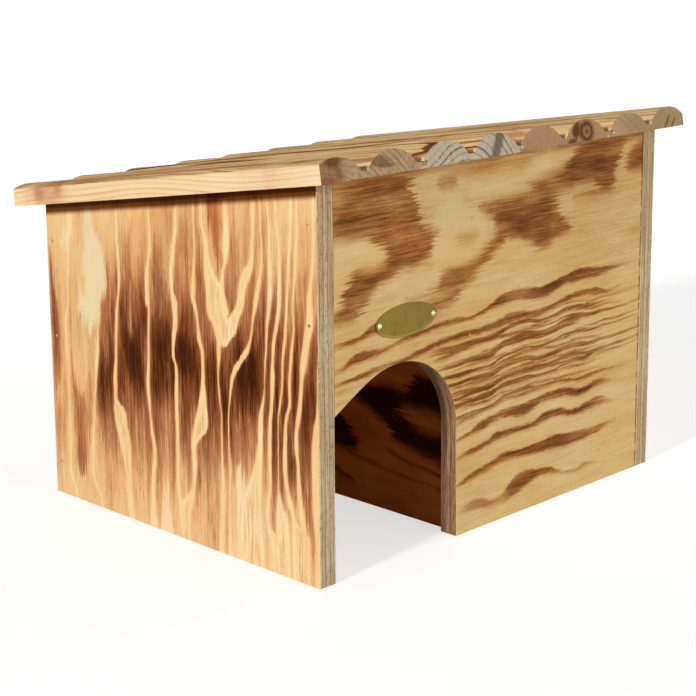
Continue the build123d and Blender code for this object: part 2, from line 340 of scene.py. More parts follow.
# Brown tongues of the left wall, outside the wide scorch
LEFT_TONGUES = [
    [(200, 191, 196), (214, 187, 199), (228, 183, 198), (256, 182, 198)],
    [(22, 28, 38), (40, 25, 42), (60, 25, 42), (70, 24, 45), (80, 23, 44), (88, 22.5, 34),
     (95, 23, 31), (101, 23.5, 27.5), (130, 24, 27), (160, 25, 27.2), (172, 26, 27)],
    [(84, -9, 8), (105, -9, 14), (125, -9, 14), (150, -9, 12), (170, -9, 8), (192, -9, 5)],
    [(104, 49, 51), (128, 49.3, 50.6)],
]

# Where the flame went over the left wall, and where it stayed longer: here each row gives a place
# from the back edge, and the lower and upper limit there
LEFT_SCORCH = [
    (50, 60, 62), (57, 36, 120), (62, 34, 158), (70, 32, 176), (80, 36, 192), (95, 38, 200),
    (110, 34, 205), (125, 34, 228), (145, 36, 232), (170, 28, 232), (190, 26, 205),
    (205, 48, 236), (215, 66, 238), (225, 70, 240), (235, 50, 236), (250, 34, 215),
    (270, 30, 212), (290, 34, 205),
]
LEFT_CORE = [
    (50, 85, 86), (58, 76, 112), (66, 70, 136), (76, 76, 150), (86, 92, 158), (100, 82, 160),
    (118, 76, 166), (130, 82, 168), (148, 76, 160), (162, 84, 158), (176, 88, 158),
    (188, 84, 158), (200, 76, 166), (212, 100, 168), (226, 106, 178), (238, 82, 172),
    (252, 66, 166), (270, 62, 160), (290, 66, 165),
]

# Where the flame bit deepest on the left wall
LEFT_DEEP = [
    [(112, 92, 100), (124, 88, 102), (136, 88, 100)],
    [(102, 121, 136), (118, 118, 140), (134, 119, 141), (148, 121, 140), (156, 124, 138)],
    [(128, 150, 170), (136, 149, 170), (146, 150, 166)],
    [(118, 184, 187), (134, 182, 188), (146, 183, 187)],
    [(106, 204, 216), (116, 206, 226), (128, 212, 236), (142, 222, 237), (156, 230, 237)],
    [(80, 246.5, 248), (96, 246.5, 249), (108, 246.5, 248)],
    [(116, 277, 285), (136, 278, 286), (150, 281, 286)],
]

# An amber flame mark between the arms of the left wall's fork
LEFT_AMBER = [[(204, 189, 196), (218, 186, 200), (236, 184, 201), (250, 183, 202), (262, 183, 202)]]

# Brown stripes of the front wall
FRONT_STRIPES = [
    [(15, 142.5, 145.5), (25, 144, 149), (30, 146, 152), (40, 147, 153.5), (60, 148.5, 152.5),
     (80, 152.5, 156), (100, 154, 158), (130, 156, 160.5), (150, 155.5, 159.5), (160, 157, 161),
     (170, 159, 163.5), (180, 160, 167.5), (190, 160.5, 169.5), (200, 161, 170),
     (220, 158.5, 168.5), (230, 158, 167), (240, 159, 168), (250, 161.5, 170.5),
     (260, 164, 172), (275, 164, 174), (300, 163.5, 171.5), (320, 166.5, 169.5), (352, 168, 168.6)],
    [(15, 134, 136), (30, 135, 138), (40, 135, 140), (60, 137.5, 141.5), (80, 138, 142),
     (100, 139.5, 145), (115, 143, 148), (150, 144, 149.5), (170, 144, 150), (190, 145, 153),
     (200, 145, 153.5), (220, 144, 151), (240, 147, 152), (260, 150, 155), (280, 151, 156),
     (300, 149, 155), (310, 149, 152), (330, 152.5, 153.2)],
    [(108, 133, 133.8), (120, 132, 135.5), (130, 133, 136.5), (150, 135.5, 138.5),
     (180, 136.5, 139.5), (210, 135.5, 138.5), (230, 137, 140), (240, 139, 142),
     (250, 140.5, 144), (270, 142, 146.5), (290, 142, 145), (310, 142.4, 143.6)],
    [(108, 127.5, 128.5), (130, 127.5, 129.5), (150, 128, 130), (180, 130, 132),
     (200, 130.3, 132.7), (230, 130, 132), (250, 131, 133), (260, 132.5, 135.5),
     (270, 133, 136.5), (290, 134, 137), (310, 135.4, 136.6)],
    [(134, 121.7, 122.6), (150, 122.5, 124.5), (190, 123.5, 125.5), (210, 125, 127),
     (240, 123, 125), (250, 121.5, 123.5), (275, 123.5, 127.5), (300, 122.5, 124.5),
     (312, 125, 126)],
    [(128, 116.4, 117.2), (135, 116, 118.5), (150, 117, 119), (170, 115, 118), (190, 117, 121),
     (210, 119.5, 123.5), (230, 119, 122), (250, 117, 119.5), (270, 118, 120), (300, 116, 118)],
    [(126, 109, 110), (135, 108.5, 111), (170, 107.5, 109.5), (190, 109.5, 111.5),
     (210, 110, 113.5), (240, 109.5, 111.5), (270, 109.5, 111.5), (280, 108.5, 110.5),
     (302, 110, 111)],
    [(122, 104, 105), (130, 103.5, 107), (150, 102, 106.5), (170, 101, 105.5), (190, 104, 108),
     (225, 104, 110), (250, 103.5, 106.5), (270, 102, 106.5), (280, 100.5, 105.5),
     (300, 104, 107), (318, 103, 104)],
    [(134, 98.3, 99.3), (140, 97.8, 100.2), (160, 96, 99), (180, 97.5, 100.5), (195, 98.5, 102),
     (230, 98, 101), (260, 98.8, 101.2), (280, 96.3, 98.7), (302, 98, 99)],
    [(134, 93.8, 94.6), (140, 93.5, 95.5), (165, 92, 94), (190, 94.3, 96.7), (235, 93.3, 95.7),
     (270, 92, 94), (300, 92.4, 93.4)],
    [(132, 80.5, 82), (140, 82, 85.5), (160, 84, 88), (170, 86, 90), (190, 89, 92),
     (210, 88, 91), (240, 89.5, 92.5), (260, 88.5, 91.5), (280, 85.5, 89.5), (300, 87, 90.5),
     (330, 87, 88.3)],
    [(130, 68, 69.5), (135, 69, 72), (150, 71, 75), (160, 71.5, 78.5), (180, 76, 82),
     (190, 76.5, 83), (210, 73, 82.5), (230, 77.5, 84), (240, 78.5, 85), (260, 77, 84),
     (280, 74, 80.5), (300, 77.5, 82.5), (320, 77, 79)],
    [(136, 56.5, 58.5), (142, 57, 60.5), (150, 56.5, 61.5), (170, 59.5, 64.5), (180, 61, 67.5),
     (200, 62, 67), (220, 61, 66), (240, 62.5, 70.5), (250, 63, 70.5), (270, 60.5, 66),
     (290, 60, 68.5), (300, 60.5, 69), (320, 60.5, 62.5)],
    [(134, 36.2, 37.5), (142, 37, 40), (150, 38, 42.5), (170, 40, 46.5), (190, 43.5, 50.5),
     (200, 43, 49), (220, 41, 48.5), (240, 39.5, 49), (250, 39, 49.5), (260, 37.5, 48),
     (280, 37, 46.5), (300, 40, 46), (320, 44, 46)],
    [(138, 16, 18), (146, 14, 21), (155, 13.5, 23), (165, 12, 21.5), (175, 10.5, 18),
     (185, 11, 19), (193, 12, 24), (202, 14, 28.5), (212, 16.5, 30.5), (222, 19, 29.5),
     (234, 21, 28), (244, 20, 26), (252, 17.5, 22), (265, 14.5, 18), (275, 13.5, 17),
     (286, 14.5, 19.5), (296, 15.5, 18.5), (306, 15, 16)],
    [(15, 159.5, 163.5), (40, 161, 166), (50, 162.5, 170), (70, 166, 172), (100, 167, 176)],
    [(14, 128.6, 130.2), (24, 128.8, 130.4)],
    [(14, 121.8, 123), (22, 122.4, 123.4)],
]

# Scorched patches of the front wall, their darker middles, and faint warm clouds
FRONT_PATCHES = [
    [(12, 228, 268), (30, 227.5, 271), (42, 228, 271), (52, 225, 271), (60, 218, 271),
     (66, 212, 271), (74, 206, 270), (84, 201.5, 268), (90, 201, 262), (94, 202, 248),
     (99, 204, 236), (105, 206, 230), (111, 213, 228), (116, 222, 228)],
    [(13, 176, 181), (20, 177, 188), (27, 179, 199), (32, 180, 207), (38, 181, 210),
     (46, 185, 209), (54, 190, 208), (61, 194, 211), (68, 196, 217), (77, 201, 222)],
    [(12, 175, 184), (20, 174, 186), (30, 174, 188), (38, 176, 184)],
    [(214, 236, 246), (226, 232, 249), (238, 229, 251), (248, 231, 252), (256, 233, 255),
     (262, 234, 260), (268, 235, 267), (276, 236, 270), (286, 236, 271), (296, 232, 271), (304, 226, 271),
     (311, 227, 271), (318, 240, 271), (330, 262, 271), (352, 264, 271)],
    [(334, 240, 256), (342, 238, 262), (354, 238, 264)],
    [(160, 231, 237), (166, 229, 238.5), (173, 223, 239.5), (179, 214, 240), (186, 209, 240.5),
     (194, 206.5, 241), (203, 205, 241.5), (211, 201, 242.5), (219, 197, 245), (227, 193.5, 248),
     (235, 194, 249), (240, 196, 246), (244, 198, 232), (250, 200, 222), (256, 201.5, 215),
     (263, 203, 211)],
    [(84, 177, 181), (94, 178, 183), (105, 178, 185), (113, 178, 189), (119, 178, 195),
     (127, 178, 197.5), (135, 179, 197), (145, 180, 198), (154, 184, 200.5), (162, 189, 204.5),
     (169, 195, 209.5), (177, 200.5, 216), (186, 204, 222)],
    [(84, 176, 180), (96, 171, 180), (108, 167, 181), (120, 167, 182), (134, 172, 184)],
]
FRONT_CORES = [
    [(18, 232, 244), (26, 230, 264), (40, 230, 266), (52, 232, 264), (64, 224, 250)],
    [(66, 214, 232), (78, 208, 230), (92, 208, 228)],
    [(24, 180, 192), (32, 182, 204), (46, 186, 206), (58, 195, 206)],
    [(180, 224, 236), (196, 214, 236), (210, 208, 238), (226, 200, 240), (238, 204, 236)],
    [(268, 242, 262), (290, 240, 264), (312, 234, 256), (324, 242, 252)],
    [(338, 240, 254), (352, 238, 256)],
    [(224, 234, 247), (238, 232, 249), (252, 233, 251), (266, 236, 260)],
    [(116, 182, 190), (132, 184, 193), (150, 187, 196)],
]
FRONT_WARM = [
    [(116, 252, 262), (124, 250, 264), (134, 252, 262)],
    [(124, 262, 267), (150, 259, 268), (180, 257, 268), (206, 256, 268), (216, 260, 266)],
    [(134, 214, 219), (146, 211, 222), (158, 214, 219)],
    [(266, 226, 232), (290, 224, 234), (316, 226, 234)],
]

# Pale clearings of the front wall
FRONT_PALE = [
    [(14, 209, 226), (36, 210, 228), (60, 214, 226)],
    [(112, 200, 236), (130, 206, 248), (150, 210, 236), (162, 214, 232)],
    [(150, 242, 252), (200, 246, 254), (236, 252, 262)],
]

# How the thin stripes rise and fall together along the front wall: place and rise, where a stripe
# lies at its own height as long as the rise is at its middle, and the span is the highest rise
FLOW_SPAN = 20.0
FLOW_MIDDLE = 15.4
THIN_FLOW = [
    (120, 10.0), (135, 9.6), (150, 10.4), (166, 10.0), (180, 12.6), (196, 15.4), (210, 15.8),
    (228, 13.6), (246, 14.6), (262, 16.4), (276, 15.6), (292, 14.2), (306, 15.2), (322, 14.8),
    (354, 16.4),
]

INNER_TONES = [
    (0.00, shade(214, 148, 80)),
    (0.30, shade(202, 124, 56)),
    (0.55, shade(172, 92, 34)),
    (0.80, shade(98, 38, 12)),
    (1.00, shade(36, 8, 1)),
]

# Burnt clouds and streaks of the inner wall: place from the front wall, lower and upper edge
INNER_BURNS = [
    [(-4, 80, 112), (20, 84, 110), (28, 84, 112), (34, 84, 105), (42, 82, 100), (60, 66, 98),
     (75, 72, 95), (90, 78, 90), (104, 84, 88)],
    [(-4, 46, 70), (20, 48, 70), (32, 50, 72), (46, 52, 80), (58, 63, 82)],
    [(88, 41, 49), (100, 38, 58), (112, 38, 72), (124, 38, 80), (146, 40, 76)],
]
INNER_STREAKS = [
    [(-4, 26, 29), (20, 27, 29), (40, 27, 30.5), (60, 30, 32.5), (80, 32, 36), (100, 36, 38)],
    [(92, 13, 16), (105, 16, 22), (118, 19, 26), (146, 24, 32)],
    [(-4, 37, 40), (24, 38.5, 41), (46, 42, 46), (60, 46, 48)],
]

# The wood and glue lines of the cut edge, across the thickness
EDGE_LAYERS = [
    (0.00, shade(244, 224, 184)),
    (0.11, shade(236, 214, 172)),
    (0.14, shade(172, 144, 102)),
    (0.17, shade(222, 200, 158)),
    (0.36, shade(208, 184, 144)),
    (0.385, shade(124, 98, 66)),
    (0.41, shade(236, 214, 172)),
    (0.62, shade(228, 206, 166)),
    (0.645, shade(146, 120, 84)),
    (0.67, shade(216, 192, 152)),
    (0.84, shade(222, 200, 160)),
    (0.865, shade(156, 128, 90)),
    (0.89, shade(236, 216, 174)),
    (1.00, shade(244, 226, 186)),
]
# Colours that the plywood's finish lays over its tones and over its cut edge
PORE_BROWN = shade(104, 82, 56)
FIBRE_BROWN = shade(116, 90, 62)
FIBRE_CREAM = shade(244, 228, 190)
EDGE_ROSE = shade(236, 196, 176)
EDGE_SMOKE = shade(180, 150, 138)
EDGE_SOOT = shade(76, 50, 42)
PEACH_PLY = shade(248, 208, 168)
ROSY_PLY = shade(248, 206, 166)
GOLDEN_PLY = shade(236, 198, 138)
CREAM_PLY = shade(236, 222, 180)
AMBER_FLAME = shade(240, 188, 116)
# Painted shadow: the brown laid under the roof's overhang on the left wall
PAINTED_SHADOW_BROWN = shade(112, 82, 40)

# The relief in metres, and the gloss
PLY_RELIEF = 0.0005
PLY_GLOSS = 0.04

# The dark joint between the front wall and the right wall, across the house
JOINT_START = 167.2
JOINT_END = 167.9


def ply_edge(finish, through, along, across, seed):
    """The layered cut edge of the plywood: through is 0 to 1 across the thickness."""
    wander = finish.noise((along, 14.0), (across, 14.0), through)
    layers = finish.tones(finish.nudged(through, wander, 0.06), EDGE_LAYERS)
    fibres = finish.noise((along, 60.0), (across, 60.0), (through, 13.0), detail=3.0, roughness=0.65)
    cracks = finish.noise((along, 150.0), (across, 150.0), (through, 7.0), roughness=0.6)
    bloom = finish.noise((along, 5.0), (across, 5.0), seed)
    drawn = finish.noise((along, 7.0), (across, 7.0), (through, 21.0), roughness=0.6)
    marks = finish.most(finish.step(fibres, 0.54, 0.68), finish.step(cracks, 0.60, 0.70))
    colour = finish.mix(finish.times(marks, 0.50), layers, PORE_BROWN)
    colour = finish.mix(finish.step(drawn, 0.50, 0.68, 0.0, 0.62), colour, FIBRE_BROWN)
    colour = finish.mix(finish.step(drawn, 0.42, 0.30, 0.0, 0.60), colour, FIBRE_CREAM)
    rosy = finish.step(bloom, 0.42, 0.60)
    colour = finish.mix(finish.times(rosy, 0.35), colour, EDGE_ROSE, "MULTIPLY")
    return colour, finish.add(finish.times(marks, -0.8), finish.step(wander, 0.3, 0.7))


def sooted_edge(finish, through, along, across, seed, sooty):
    """The cut edge with the flame's soot on it, and the edge's relief."""
    colour, relief = ply_edge(finish, through, along, across, seed)
    soot = finish.noise((along, 26.0), (across, 26.0), (through, 15.0), detail=3.0, roughness=0.6)
    soot = finish.step(soot, 0.46, 0.60, 0.0, 0.55)
    colour = finish.mix(sooty, colour, EDGE_SMOKE, "MULTIPLY")
    return finish.mix(finish.times(soot, sooty), colour, EDGE_SOOT), relief


def plywood_surface(
    finish, scorch, tones, along, across, through, seed, edge,
    sooty=0.0, rosy=0.0, golden=0.0, cream=0.0, amber=0.0, painted_roof_shadow=0.0, grain=1.0,
):
    """Joins the scorch, the fibres and the cut edge, which edge marks with 1."""
    fibres = finish.noise((along, 14.0), (across, 380.0), seed, detail=3.0, roughness=0.62)
    strands = finish.noise((along, 4.2), (across, 130.0), seed + 1.6, roughness=0.6)
    pores = finish.noise((along, 42.0), (across, 640.0), seed + 3.1, roughness=0.7)
    dashes = finish.step(pores, 0.58, 0.70)
    sparks = finish.step(pores, 0.36, 0.28)
    reach = finish.scaled(scorch, 1.0, 0.10)
    strength = finish.times(finish.step(scorch, 1.10, 0.70, 0.45, 1.0), reach)
    streaks = finish.add(finish.scaled(fibres, 1.05, -0.525), finish.scaled(strands, 0.36, -0.18))
    streaks = finish.times(streaks, grain)
    tone = finish.add(scorch, finish.times(streaks, strength))
    tone = finish.add(tone, finish.times(dashes, finish.scaled(scorch, 0.18, 0.06)))
    tone = finish.less(tone, finish.times(sparks, finish.times(scorch, 0.30)))
    colour = finish.tones(tone, tones)
    drift = finish.noise((along, 4.0), (across, 12.0), seed + 7.7)
    warmth = finish.step(drift, 0.40, 0.62)
    colour = finish.mix(finish.times(warmth, 0.30), colour, PEACH_PLY, "MULTIPLY")
    light = finish.step(tone, 0.50, 0.0)
    colour = finish.mix(finish.times(light, rosy), colour, ROSY_PLY)
    colour = finish.mix(finish.times(light, golden), colour, GOLDEN_PLY)
    colour = finish.mix(finish.times(light, cream), colour, CREAM_PLY)
    colour = finish.mix(amber, colour, AMBER_FLAME, "MULTIPLY")
    # Painted shadow of the roof's overhang, multiplied over the colour
    colour = finish.mix(painted_roof_shadow, colour, PAINTED_SHADOW_BROWN, "MULTIPLY")
    edge_colour, edge_relief = sooted_edge(finish, through, along, across, seed, sooty)
    colour = finish.mix(edge, colour, edge_colour)
    relief = finish.add(finish.times(scorch, -0.5), finish.times(fibres, 0.5))
    relief = finish.less(relief, finish.times(dashes, 0.2))
    relief = finish.mix_value(edge, relief, finish.times(edge_relief, 0.4))
    roughness = finish.add(finish.scaled(fibres, 0.16, 0.54), finish.times(edge, 0.14))
    return finish.surface(colour, roughness, relief, PLY_RELIEF, gloss=PLY_GLOSS)


def cut_edge(finish, facing):
    """1 where a wall shows its cut edge, 0 on its two broad faces."""
    return finish.step(finish.size(facing), 0.72, 0.5)


def left_wall_burns(finish, up, from_back, along, across, clouds):
    """How brown the flame turned the left wall between its light lines."""
    tongues = finish.step(finish.shapes(along, across, LEFT_TONGUES, taper=10), -0.003, 0.014)
    wide = finish.step(finish.band(from_back, along, LEFT_SCORCH, closed=False), -0.12, 0.12)
    core = finish.step(finish.band(from_back, along, LEFT_CORE, closed=False), -0.08, 0.11)
    deep = finish.step(finish.shapes(along, across, LEFT_DEEP, taper=16), -0.018, 0.022)
    burnt = finish.add(finish.times(wide, 0.28), finish.times(core, 0.24))
    burnt = finish.times(burnt, finish.scaled(clouds, 1.3, 0.40))
    burnt = finish.most(burnt, finish.times(tongues, 0.30))
    burnt = finish.add(burnt, finish.times(deep, finish.scaled(burnt, -0.30, 0.28)))
    high = finish.between(up, 160, 205, 1.0, 0.80)
    foot = finish.between(up, 115, 75, 1.0, 0.92)
    return finish.times(finish.add(burnt, finish.scaled(clouds, 0.42, 0.07)), high, foot)


def left_wall_finish():
    """Upright grain: light lines left standing in a field that the flame turned brown."""
    finish = Finish("flamed_ply_left")
    x, y, z = finish.parts(finish.place)
    facing = finish.parts(finish.facing)[0]
    from_back = finish.scaled(y, -SHEETS_PER_METRE, BACK_Y / SHEET)
    up = finish.times(z, SHEETS_PER_METRE)
    sway = finish.noise((up, 12.0), (from_back, 20.0), 1.7, detail=3.0)
    feather = finish.noise((up, 16.0), (from_back, 230.0), 4.2, detail=3.0, roughness=0.6)
    rag = finish.noise((up, 13.0), (from_back, 75.0), 15.8, detail=3.0)
    clouds = finish.noise((up, 7.0), (from_back, 34.0), 8.8, detail=3.0)
    across = finish.nudged(finish.nudged(from_back, sway, 0.008), feather, 0.005)
    along = finish.nudged(up, feather, 0.10)
    near_line = finish.shapes(finish.nudged(up, feather, 0.020), across, LEFT_LINES)
    lines = finish.step(near_line, -0.0004, 0.0032)
    halo = finish.step(near_line, -0.0070, 0.0)
    rim = finish.times(lines, finish.step(near_line, 0.0060, 0.0012))
    near_patch = finish.shapes(along, finish.nudged(across, rag, 0.030), LEFT_PATCHES)
    patches = finish.step(near_patch, -0.003, 0.012)
    low = finish.step(up, 0.30, 0.06)
    dark = left_wall_burns(finish, up, from_back, along, across, clouds)
    dark = finish.times(dark, finish.scaled(halo, -0.14, 1.0), finish.scaled(low, -0.06, 1.0))
    lines = finish.times(lines, finish.scaled(low, -0.12, 1.0))
    light = finish.most(lines, patches)
    scorch = finish.times(dark, finish.scaled(light, -0.88, 1.0))
    broad = finish.step(near_line, 0.006, 0.018)
    scorch = finish.add(scorch, finish.times(broad, finish.step(feather, 0.40, 0.66, 0.0, 0.22)))
    # Painted shadow of the roof's overhang: a band just under the roof's edge, made darker in its tone
    # here and by a brown laid over the colour below
    slope = math.tan(ROOF_SLOPE)
    below_roof = finish.scaled(y, -slope / MM, FRONT_Y * slope + FRONT_HEIGHT)
    below_roof = finish.less(below_roof, finish.times(z, 1 / MM))
    scorch = finish.add(scorch, finish.step(below_roof, 11.0, 6.0, 0.0, 0.10))
    outside = finish.step(facing, -0.4, -0.6)
    scorch = finish.mix_value(outside, finish.scaled(clouds, 0.22, 0.10), scorch)
    through = finish.scaled(x, 1 / MM / WALL, -LEFT_X / WALL)
    amber = finish.step(finish.shapes(along, across, LEFT_AMBER), -0.006, 0.014, 0.0, 0.50)
    amber = finish.times(amber, outside, finish.less(1.0, lines))
    amber = finish.most(amber, finish.times(rim, outside, 0.42))
    # The band of the painted roof shadow, on the outer face only
    painted_roof_shadow = finish.times(finish.step(below_roof, 10.5, 6.0), outside)
    cream = finish.times(patches, finish.scaled(low, -0.6, 0.6))
    golden = finish.between(from_back, 120, 50, 0.0, 0.62)
    golden = finish.times(golden, finish.scaled(lines, -0.8, 1.0))
    rosy = finish.times(finish.scaled(low, 0.38, 0.05), finish.scaled(lines, -0.8, 1.0))
    return plywood_surface(
        finish, scorch, LEFT_TONES, up, from_back, through, seed=12.5, edge=cut_edge(finish, facing),
        rosy=rosy, golden=golden, cream=cream, amber=amber, painted_roof_shadow=painted_roof_shadow,
    )


def front_stripe_depth(finish, from_left, along, rise):
    """How deep a place lies inside the nearest brown stripe, whose upper edge is the sharper one."""
    depths = []
    for rows in FRONT_STRIPES:
        low, high = finish.edges(from_left, rows)
        above = finish.times(finish.less(high, rise), 2.0)
        inside = finish.least(finish.less(rise, low), above)
        first = rows[0][0] / SHEET
        last = rows[-1][0] / SHEET
        ends = finish.least(finish.less(along, first), finish.less(last, along))
        depths.append(finish.least(inside, finish.times(ends, 0.14)))
    return finish.most(*depths)


def thin_stripes(finish, from_left, rise, clouds):
    """The fine stripes right of the entrance, which rise and fall together along a drawn flow."""
    flow = finish.curve(from_left, [(place / SHEET, lift / FLOW_SPAN) for place, lift in THIN_FLOW])
    row = finish.less(rise, finish.scaled(flow, FLOW_SPAN / SHEET, -FLOW_MIDDLE / SHEET))
    thin = finish.noise((from_left, 2.2), (row, 145.0), 12.4, detail=0.0)
    thin = finish.step(thin, 0.50, 0.59)
    region = finish.times(finish.between(row, 88, 94), finish.between(row, 152, 144))
    region = finish.times(region, finish.between(from_left, 96, 132))
    return finish.times(finish.times(thin, region), finish.scaled(clouds, 0.44, 0.21))


def front_stripes(finish, depth, clouds):
    """How brown the broad stripes are: a light fringe, a brown body and darker lips."""
    fringe = finish.step(depth, -0.0052, 0.0012)
    stripes = finish.step(depth, -0.0006, 0.0052)
    lips = finish.step(depth, 0.003, 0.012)
    brown = finish.times(stripes, finish.scaled(clouds, 0.44, 0.06))
    brown = finish.add(brown, finish.times(fringe, 0.12))
    return finish.add(brown, finish.times(lips, 0.10))


def front_wall_finish():
    """Level grain: brown stripes on pale wood, with patches where the flame stayed longer."""
    finish = Finish("flamed_ply_front")
    x, y, z = finish.parts(finish.place)
    facing = finish.parts(finish.facing)[1]
    from_left = finish.scaled(x, SHEETS_PER_METRE, -LEFT_X / SHEET)
    up = finish.times(z, SHEETS_PER_METRE)
    sway = finish.noise((from_left, 14.0), (up, 34.0), 2.3, detail=3.0)
    feather = finish.noise((from_left, 20.0), (up, 260.0), 6.4, detail=3.0, roughness=0.7)
    fray = finish.noise((from_left, 70.0), (up, 460.0), 9.3, roughness=0.6)
    clouds = finish.noise((from_left, 9.0), (up, 26.0), 3.9, detail=3.0)
    rise = finish.nudged(finish.nudged(up, sway, 0.009), feather, 0.0044)
    along = finish.nudged(from_left, feather, 0.040)
    frayed = finish.add(from_left, finish.scaled(feather, 0.085, -0.042))
    depth = front_stripe_depth(finish, from_left, along, finish.nudged(rise, fray, 0.0100))
    patches = finish.step(finish.shapes(frayed, rise, FRONT_PATCHES), -0.009, 0.018)
    cores = finish.step(finish.shapes(frayed, rise, FRONT_CORES), -0.022, 0.034)
    warm = finish.step(finish.shapes(along, rise, FRONT_WARM), -0.01, 0.02)
    pale = finish.step(finish.shapes(along, rise, FRONT_PALE), -0.02, 0.04)
    fade = finish.between(from_left, 280, 352, 1.0, 0.42)
    # Painted shade under the roof's front edge: a thin dark band along the top of the wall, mottled by
    # the clouds
    painted_roof_shade = finish.between(up, 262, 268, 0.0, 0.26)
    painted_roof_shade = finish.times(painted_roof_shade, finish.step(clouds, 0.30, 0.60, 0.5, 1.0))
    thin = thin_stripes(finish, from_left, rise, clouds)
    heart = finish.times(finish.between(from_left, 184, 204), finish.between(from_left, 258, 242))
    washed = finish.times(finish.between(up, 33, 27), finish.less(1.0, heart))
    stripes = finish.times(front_stripes(finish, depth, clouds), fade)
    stripes = finish.times(stripes, finish.scaled(washed, -0.50, 1.0))
    patch_depth = finish.times(patches, finish.scaled(clouds, 0.50, 0.10))
    patch_depth = finish.add(patch_depth, finish.times(cores, 0.12))
    # The scorch, with the painted shade under the roof taken in
    burnt = finish.most(
        stripes, patch_depth, finish.times(thin, fade), finish.times(warm, 0.24), painted_roof_shade
    )
    ground = finish.times(finish.scaled(clouds, 0.20, 0.06), finish.scaled(pale, -0.7, 1.0))
    # Painted shade: the upper right of the wall a little darker, where the light falls off
    painted_falloff_shade = finish.times(finish.between(from_left, 230, 275), finish.between(up, 140, 175))
    ground = finish.add(ground, finish.times(painted_falloff_shade, 0.05))
    scorch = finish.add(burnt, ground)
    outside = finish.step(facing, -0.4, -0.6)
    scorch = finish.mix_value(outside, finish.scaled(clouds, 0.25, 0.10), scorch)
    joint = finish.step(x, JOINT_START * MM, JOINT_END * MM)
    broken = finish.step(finish.noise(0.0, 0.0, (z, 90.0)), 0.42, 0.54)
    scorch = finish.add(scorch, finish.times(finish.times(joint, broken), 0.6))
    through = finish.scaled(y, 1 / MM / WALL, -FRONT_Y / WALL)
    return plywood_surface(
        finish, scorch, FRONT_TONES, from_left, up, through, seed=21.4,
        edge=cut_edge(finish, facing), sooty=0.8,
    )


def inner_wall_finish():
    """Level grain, burnt almost black in large clouds, with sloping streaks below them."""
    finish = Finish("flamed_ply_inner")
    x, y, z = finish.parts(finish.place)
    facing = finish.parts(finish.facing)[0]
    from_front = finish.scaled(y, SHEETS_PER_METRE, -(FRONT_Y + WALL) / SHEET)
    up = finish.times(z, SHEETS_PER_METRE)
    sway = finish.noise((from_front, 12.0), (up, 30.0), 5.3, detail=3.0)
    feather = finish.noise((from_front, 18.0), (up, 220.0), 7.4, detail=3.0, roughness=0.6)
    clouds = finish.noise((from_front, 7.0), (up, 22.0), 1.9, detail=3.0)
    rise = finish.nudged(finish.nudged(up, sway, 0.02), feather, 0.005)
    along = finish.nudged(from_front, feather, 0.08)
    burns = finish.step(finish.shapes(along, rise, INNER_BURNS), -0.012, 0.022)
    streaks = finish.step(finish.shapes(from_front, rise, INNER_STREAKS), -0.004, 0.008)
    scorch = finish.add(finish.scaled(clouds, 0.60, 0.10), finish.times(burns, 0.62))
    scorch = finish.add(scorch, finish.times(streaks, 0.34))
    other_side = finish.step(facing, 0.4, 0.6)
    scorch = finish.mix_value(other_side, scorch, finish.scaled(clouds, 0.3, 0.12))
    through = finish.scaled(x, 1 / MM / WALL, -INNER_WALL_X / WALL)
    return plywood_surface(
        finish, scorch, INNER_TONES, from_front, up, through, seed=33.0,
        edge=cut_edge(finish, facing), grain=0.4,
    )


def plain_flamed_finish(name, upright, axis, start, seed, depth):
    """The other walls: the same flamed wood with lines that wander on their own."""
    finish = Finish(name)
    x, y, z = finish.parts(finish.place)
    thick, level = (x, y) if axis == "x" else (y, x)
    facing = finish.parts(finish.facing)[0 if axis == "x" else 1]
    level = finish.scaled(level, SHEETS_PER_METRE, 0.5)
    up = finish.times(z, SHEETS_PER_METRE)
    grain, across = (up, level) if upright else (level, up)
    bend = finish.noise((grain, 2.2), (across, 2.8), seed)
    sway = finish.noise((grain, 12.0), (across, 30.0), seed + 2.0, detail=3.0)
    feather = finish.noise((grain, 16.0), (across, 230.0), seed + 4.0, detail=3.0, roughness=0.6)
    place = finish.nudged(finish.nudged(across, bend, 0.14), sway, 0.008)
    place = finish.nudged(place, feather, 0.004)
    rows = finish.noise((place, 64.0), (grain, 0.9), seed + 6.0, detail=1.0)
    lines = finish.step(rows, 0.51, 0.58)
    hair = finish.noise((place, 170.0), (grain, 1.4), seed + 7.0, detail=1.0)
    hair = finish.step(hair, 0.52, 0.62)
    fire = finish.noise((finish.nudged(grain, feather, 0.12), 4.0), (place, 5.0), seed + 8.0)
    wide = finish.step(fire, 0.36, 0.58)
    core = finish.step(fire, 0.50, 0.68)
    clouds = finish.noise((grain, 8.0), (across, 30.0), seed + 9.0, detail=3.0)
    burnt = finish.times(finish.add(finish.times(wide, 0.44), finish.times(core, 0.36)), depth)
    burnt = finish.times(burnt, finish.scaled(clouds, 0.9, 0.55))
    dark = finish.add(burnt, finish.scaled(clouds, 0.30, 0.06))
    dark = finish.times(dark, finish.scaled(hair, -0.26, 1.0))
    scorch = finish.times(dark, finish.scaled(lines, -0.80, 1.0))
    scorch = finish.add(scorch, finish.times(lines, finish.scaled(hair, 0.07, 0.0)))
    outside = finish.step(facing, 0.4, 0.6)
    scorch = finish.mix_value(outside, finish.scaled(clouds, 0.25, 0.10), scorch)
    through = finish.scaled(thick, 1 / MM / WALL, -start / WALL)
    return plywood_surface(
        finish, scorch, LEFT_TONES, grain, across, through, seed=seed + 11.0,
        edge=cut_edge(finish, facing),
    )


# Pine of the roof

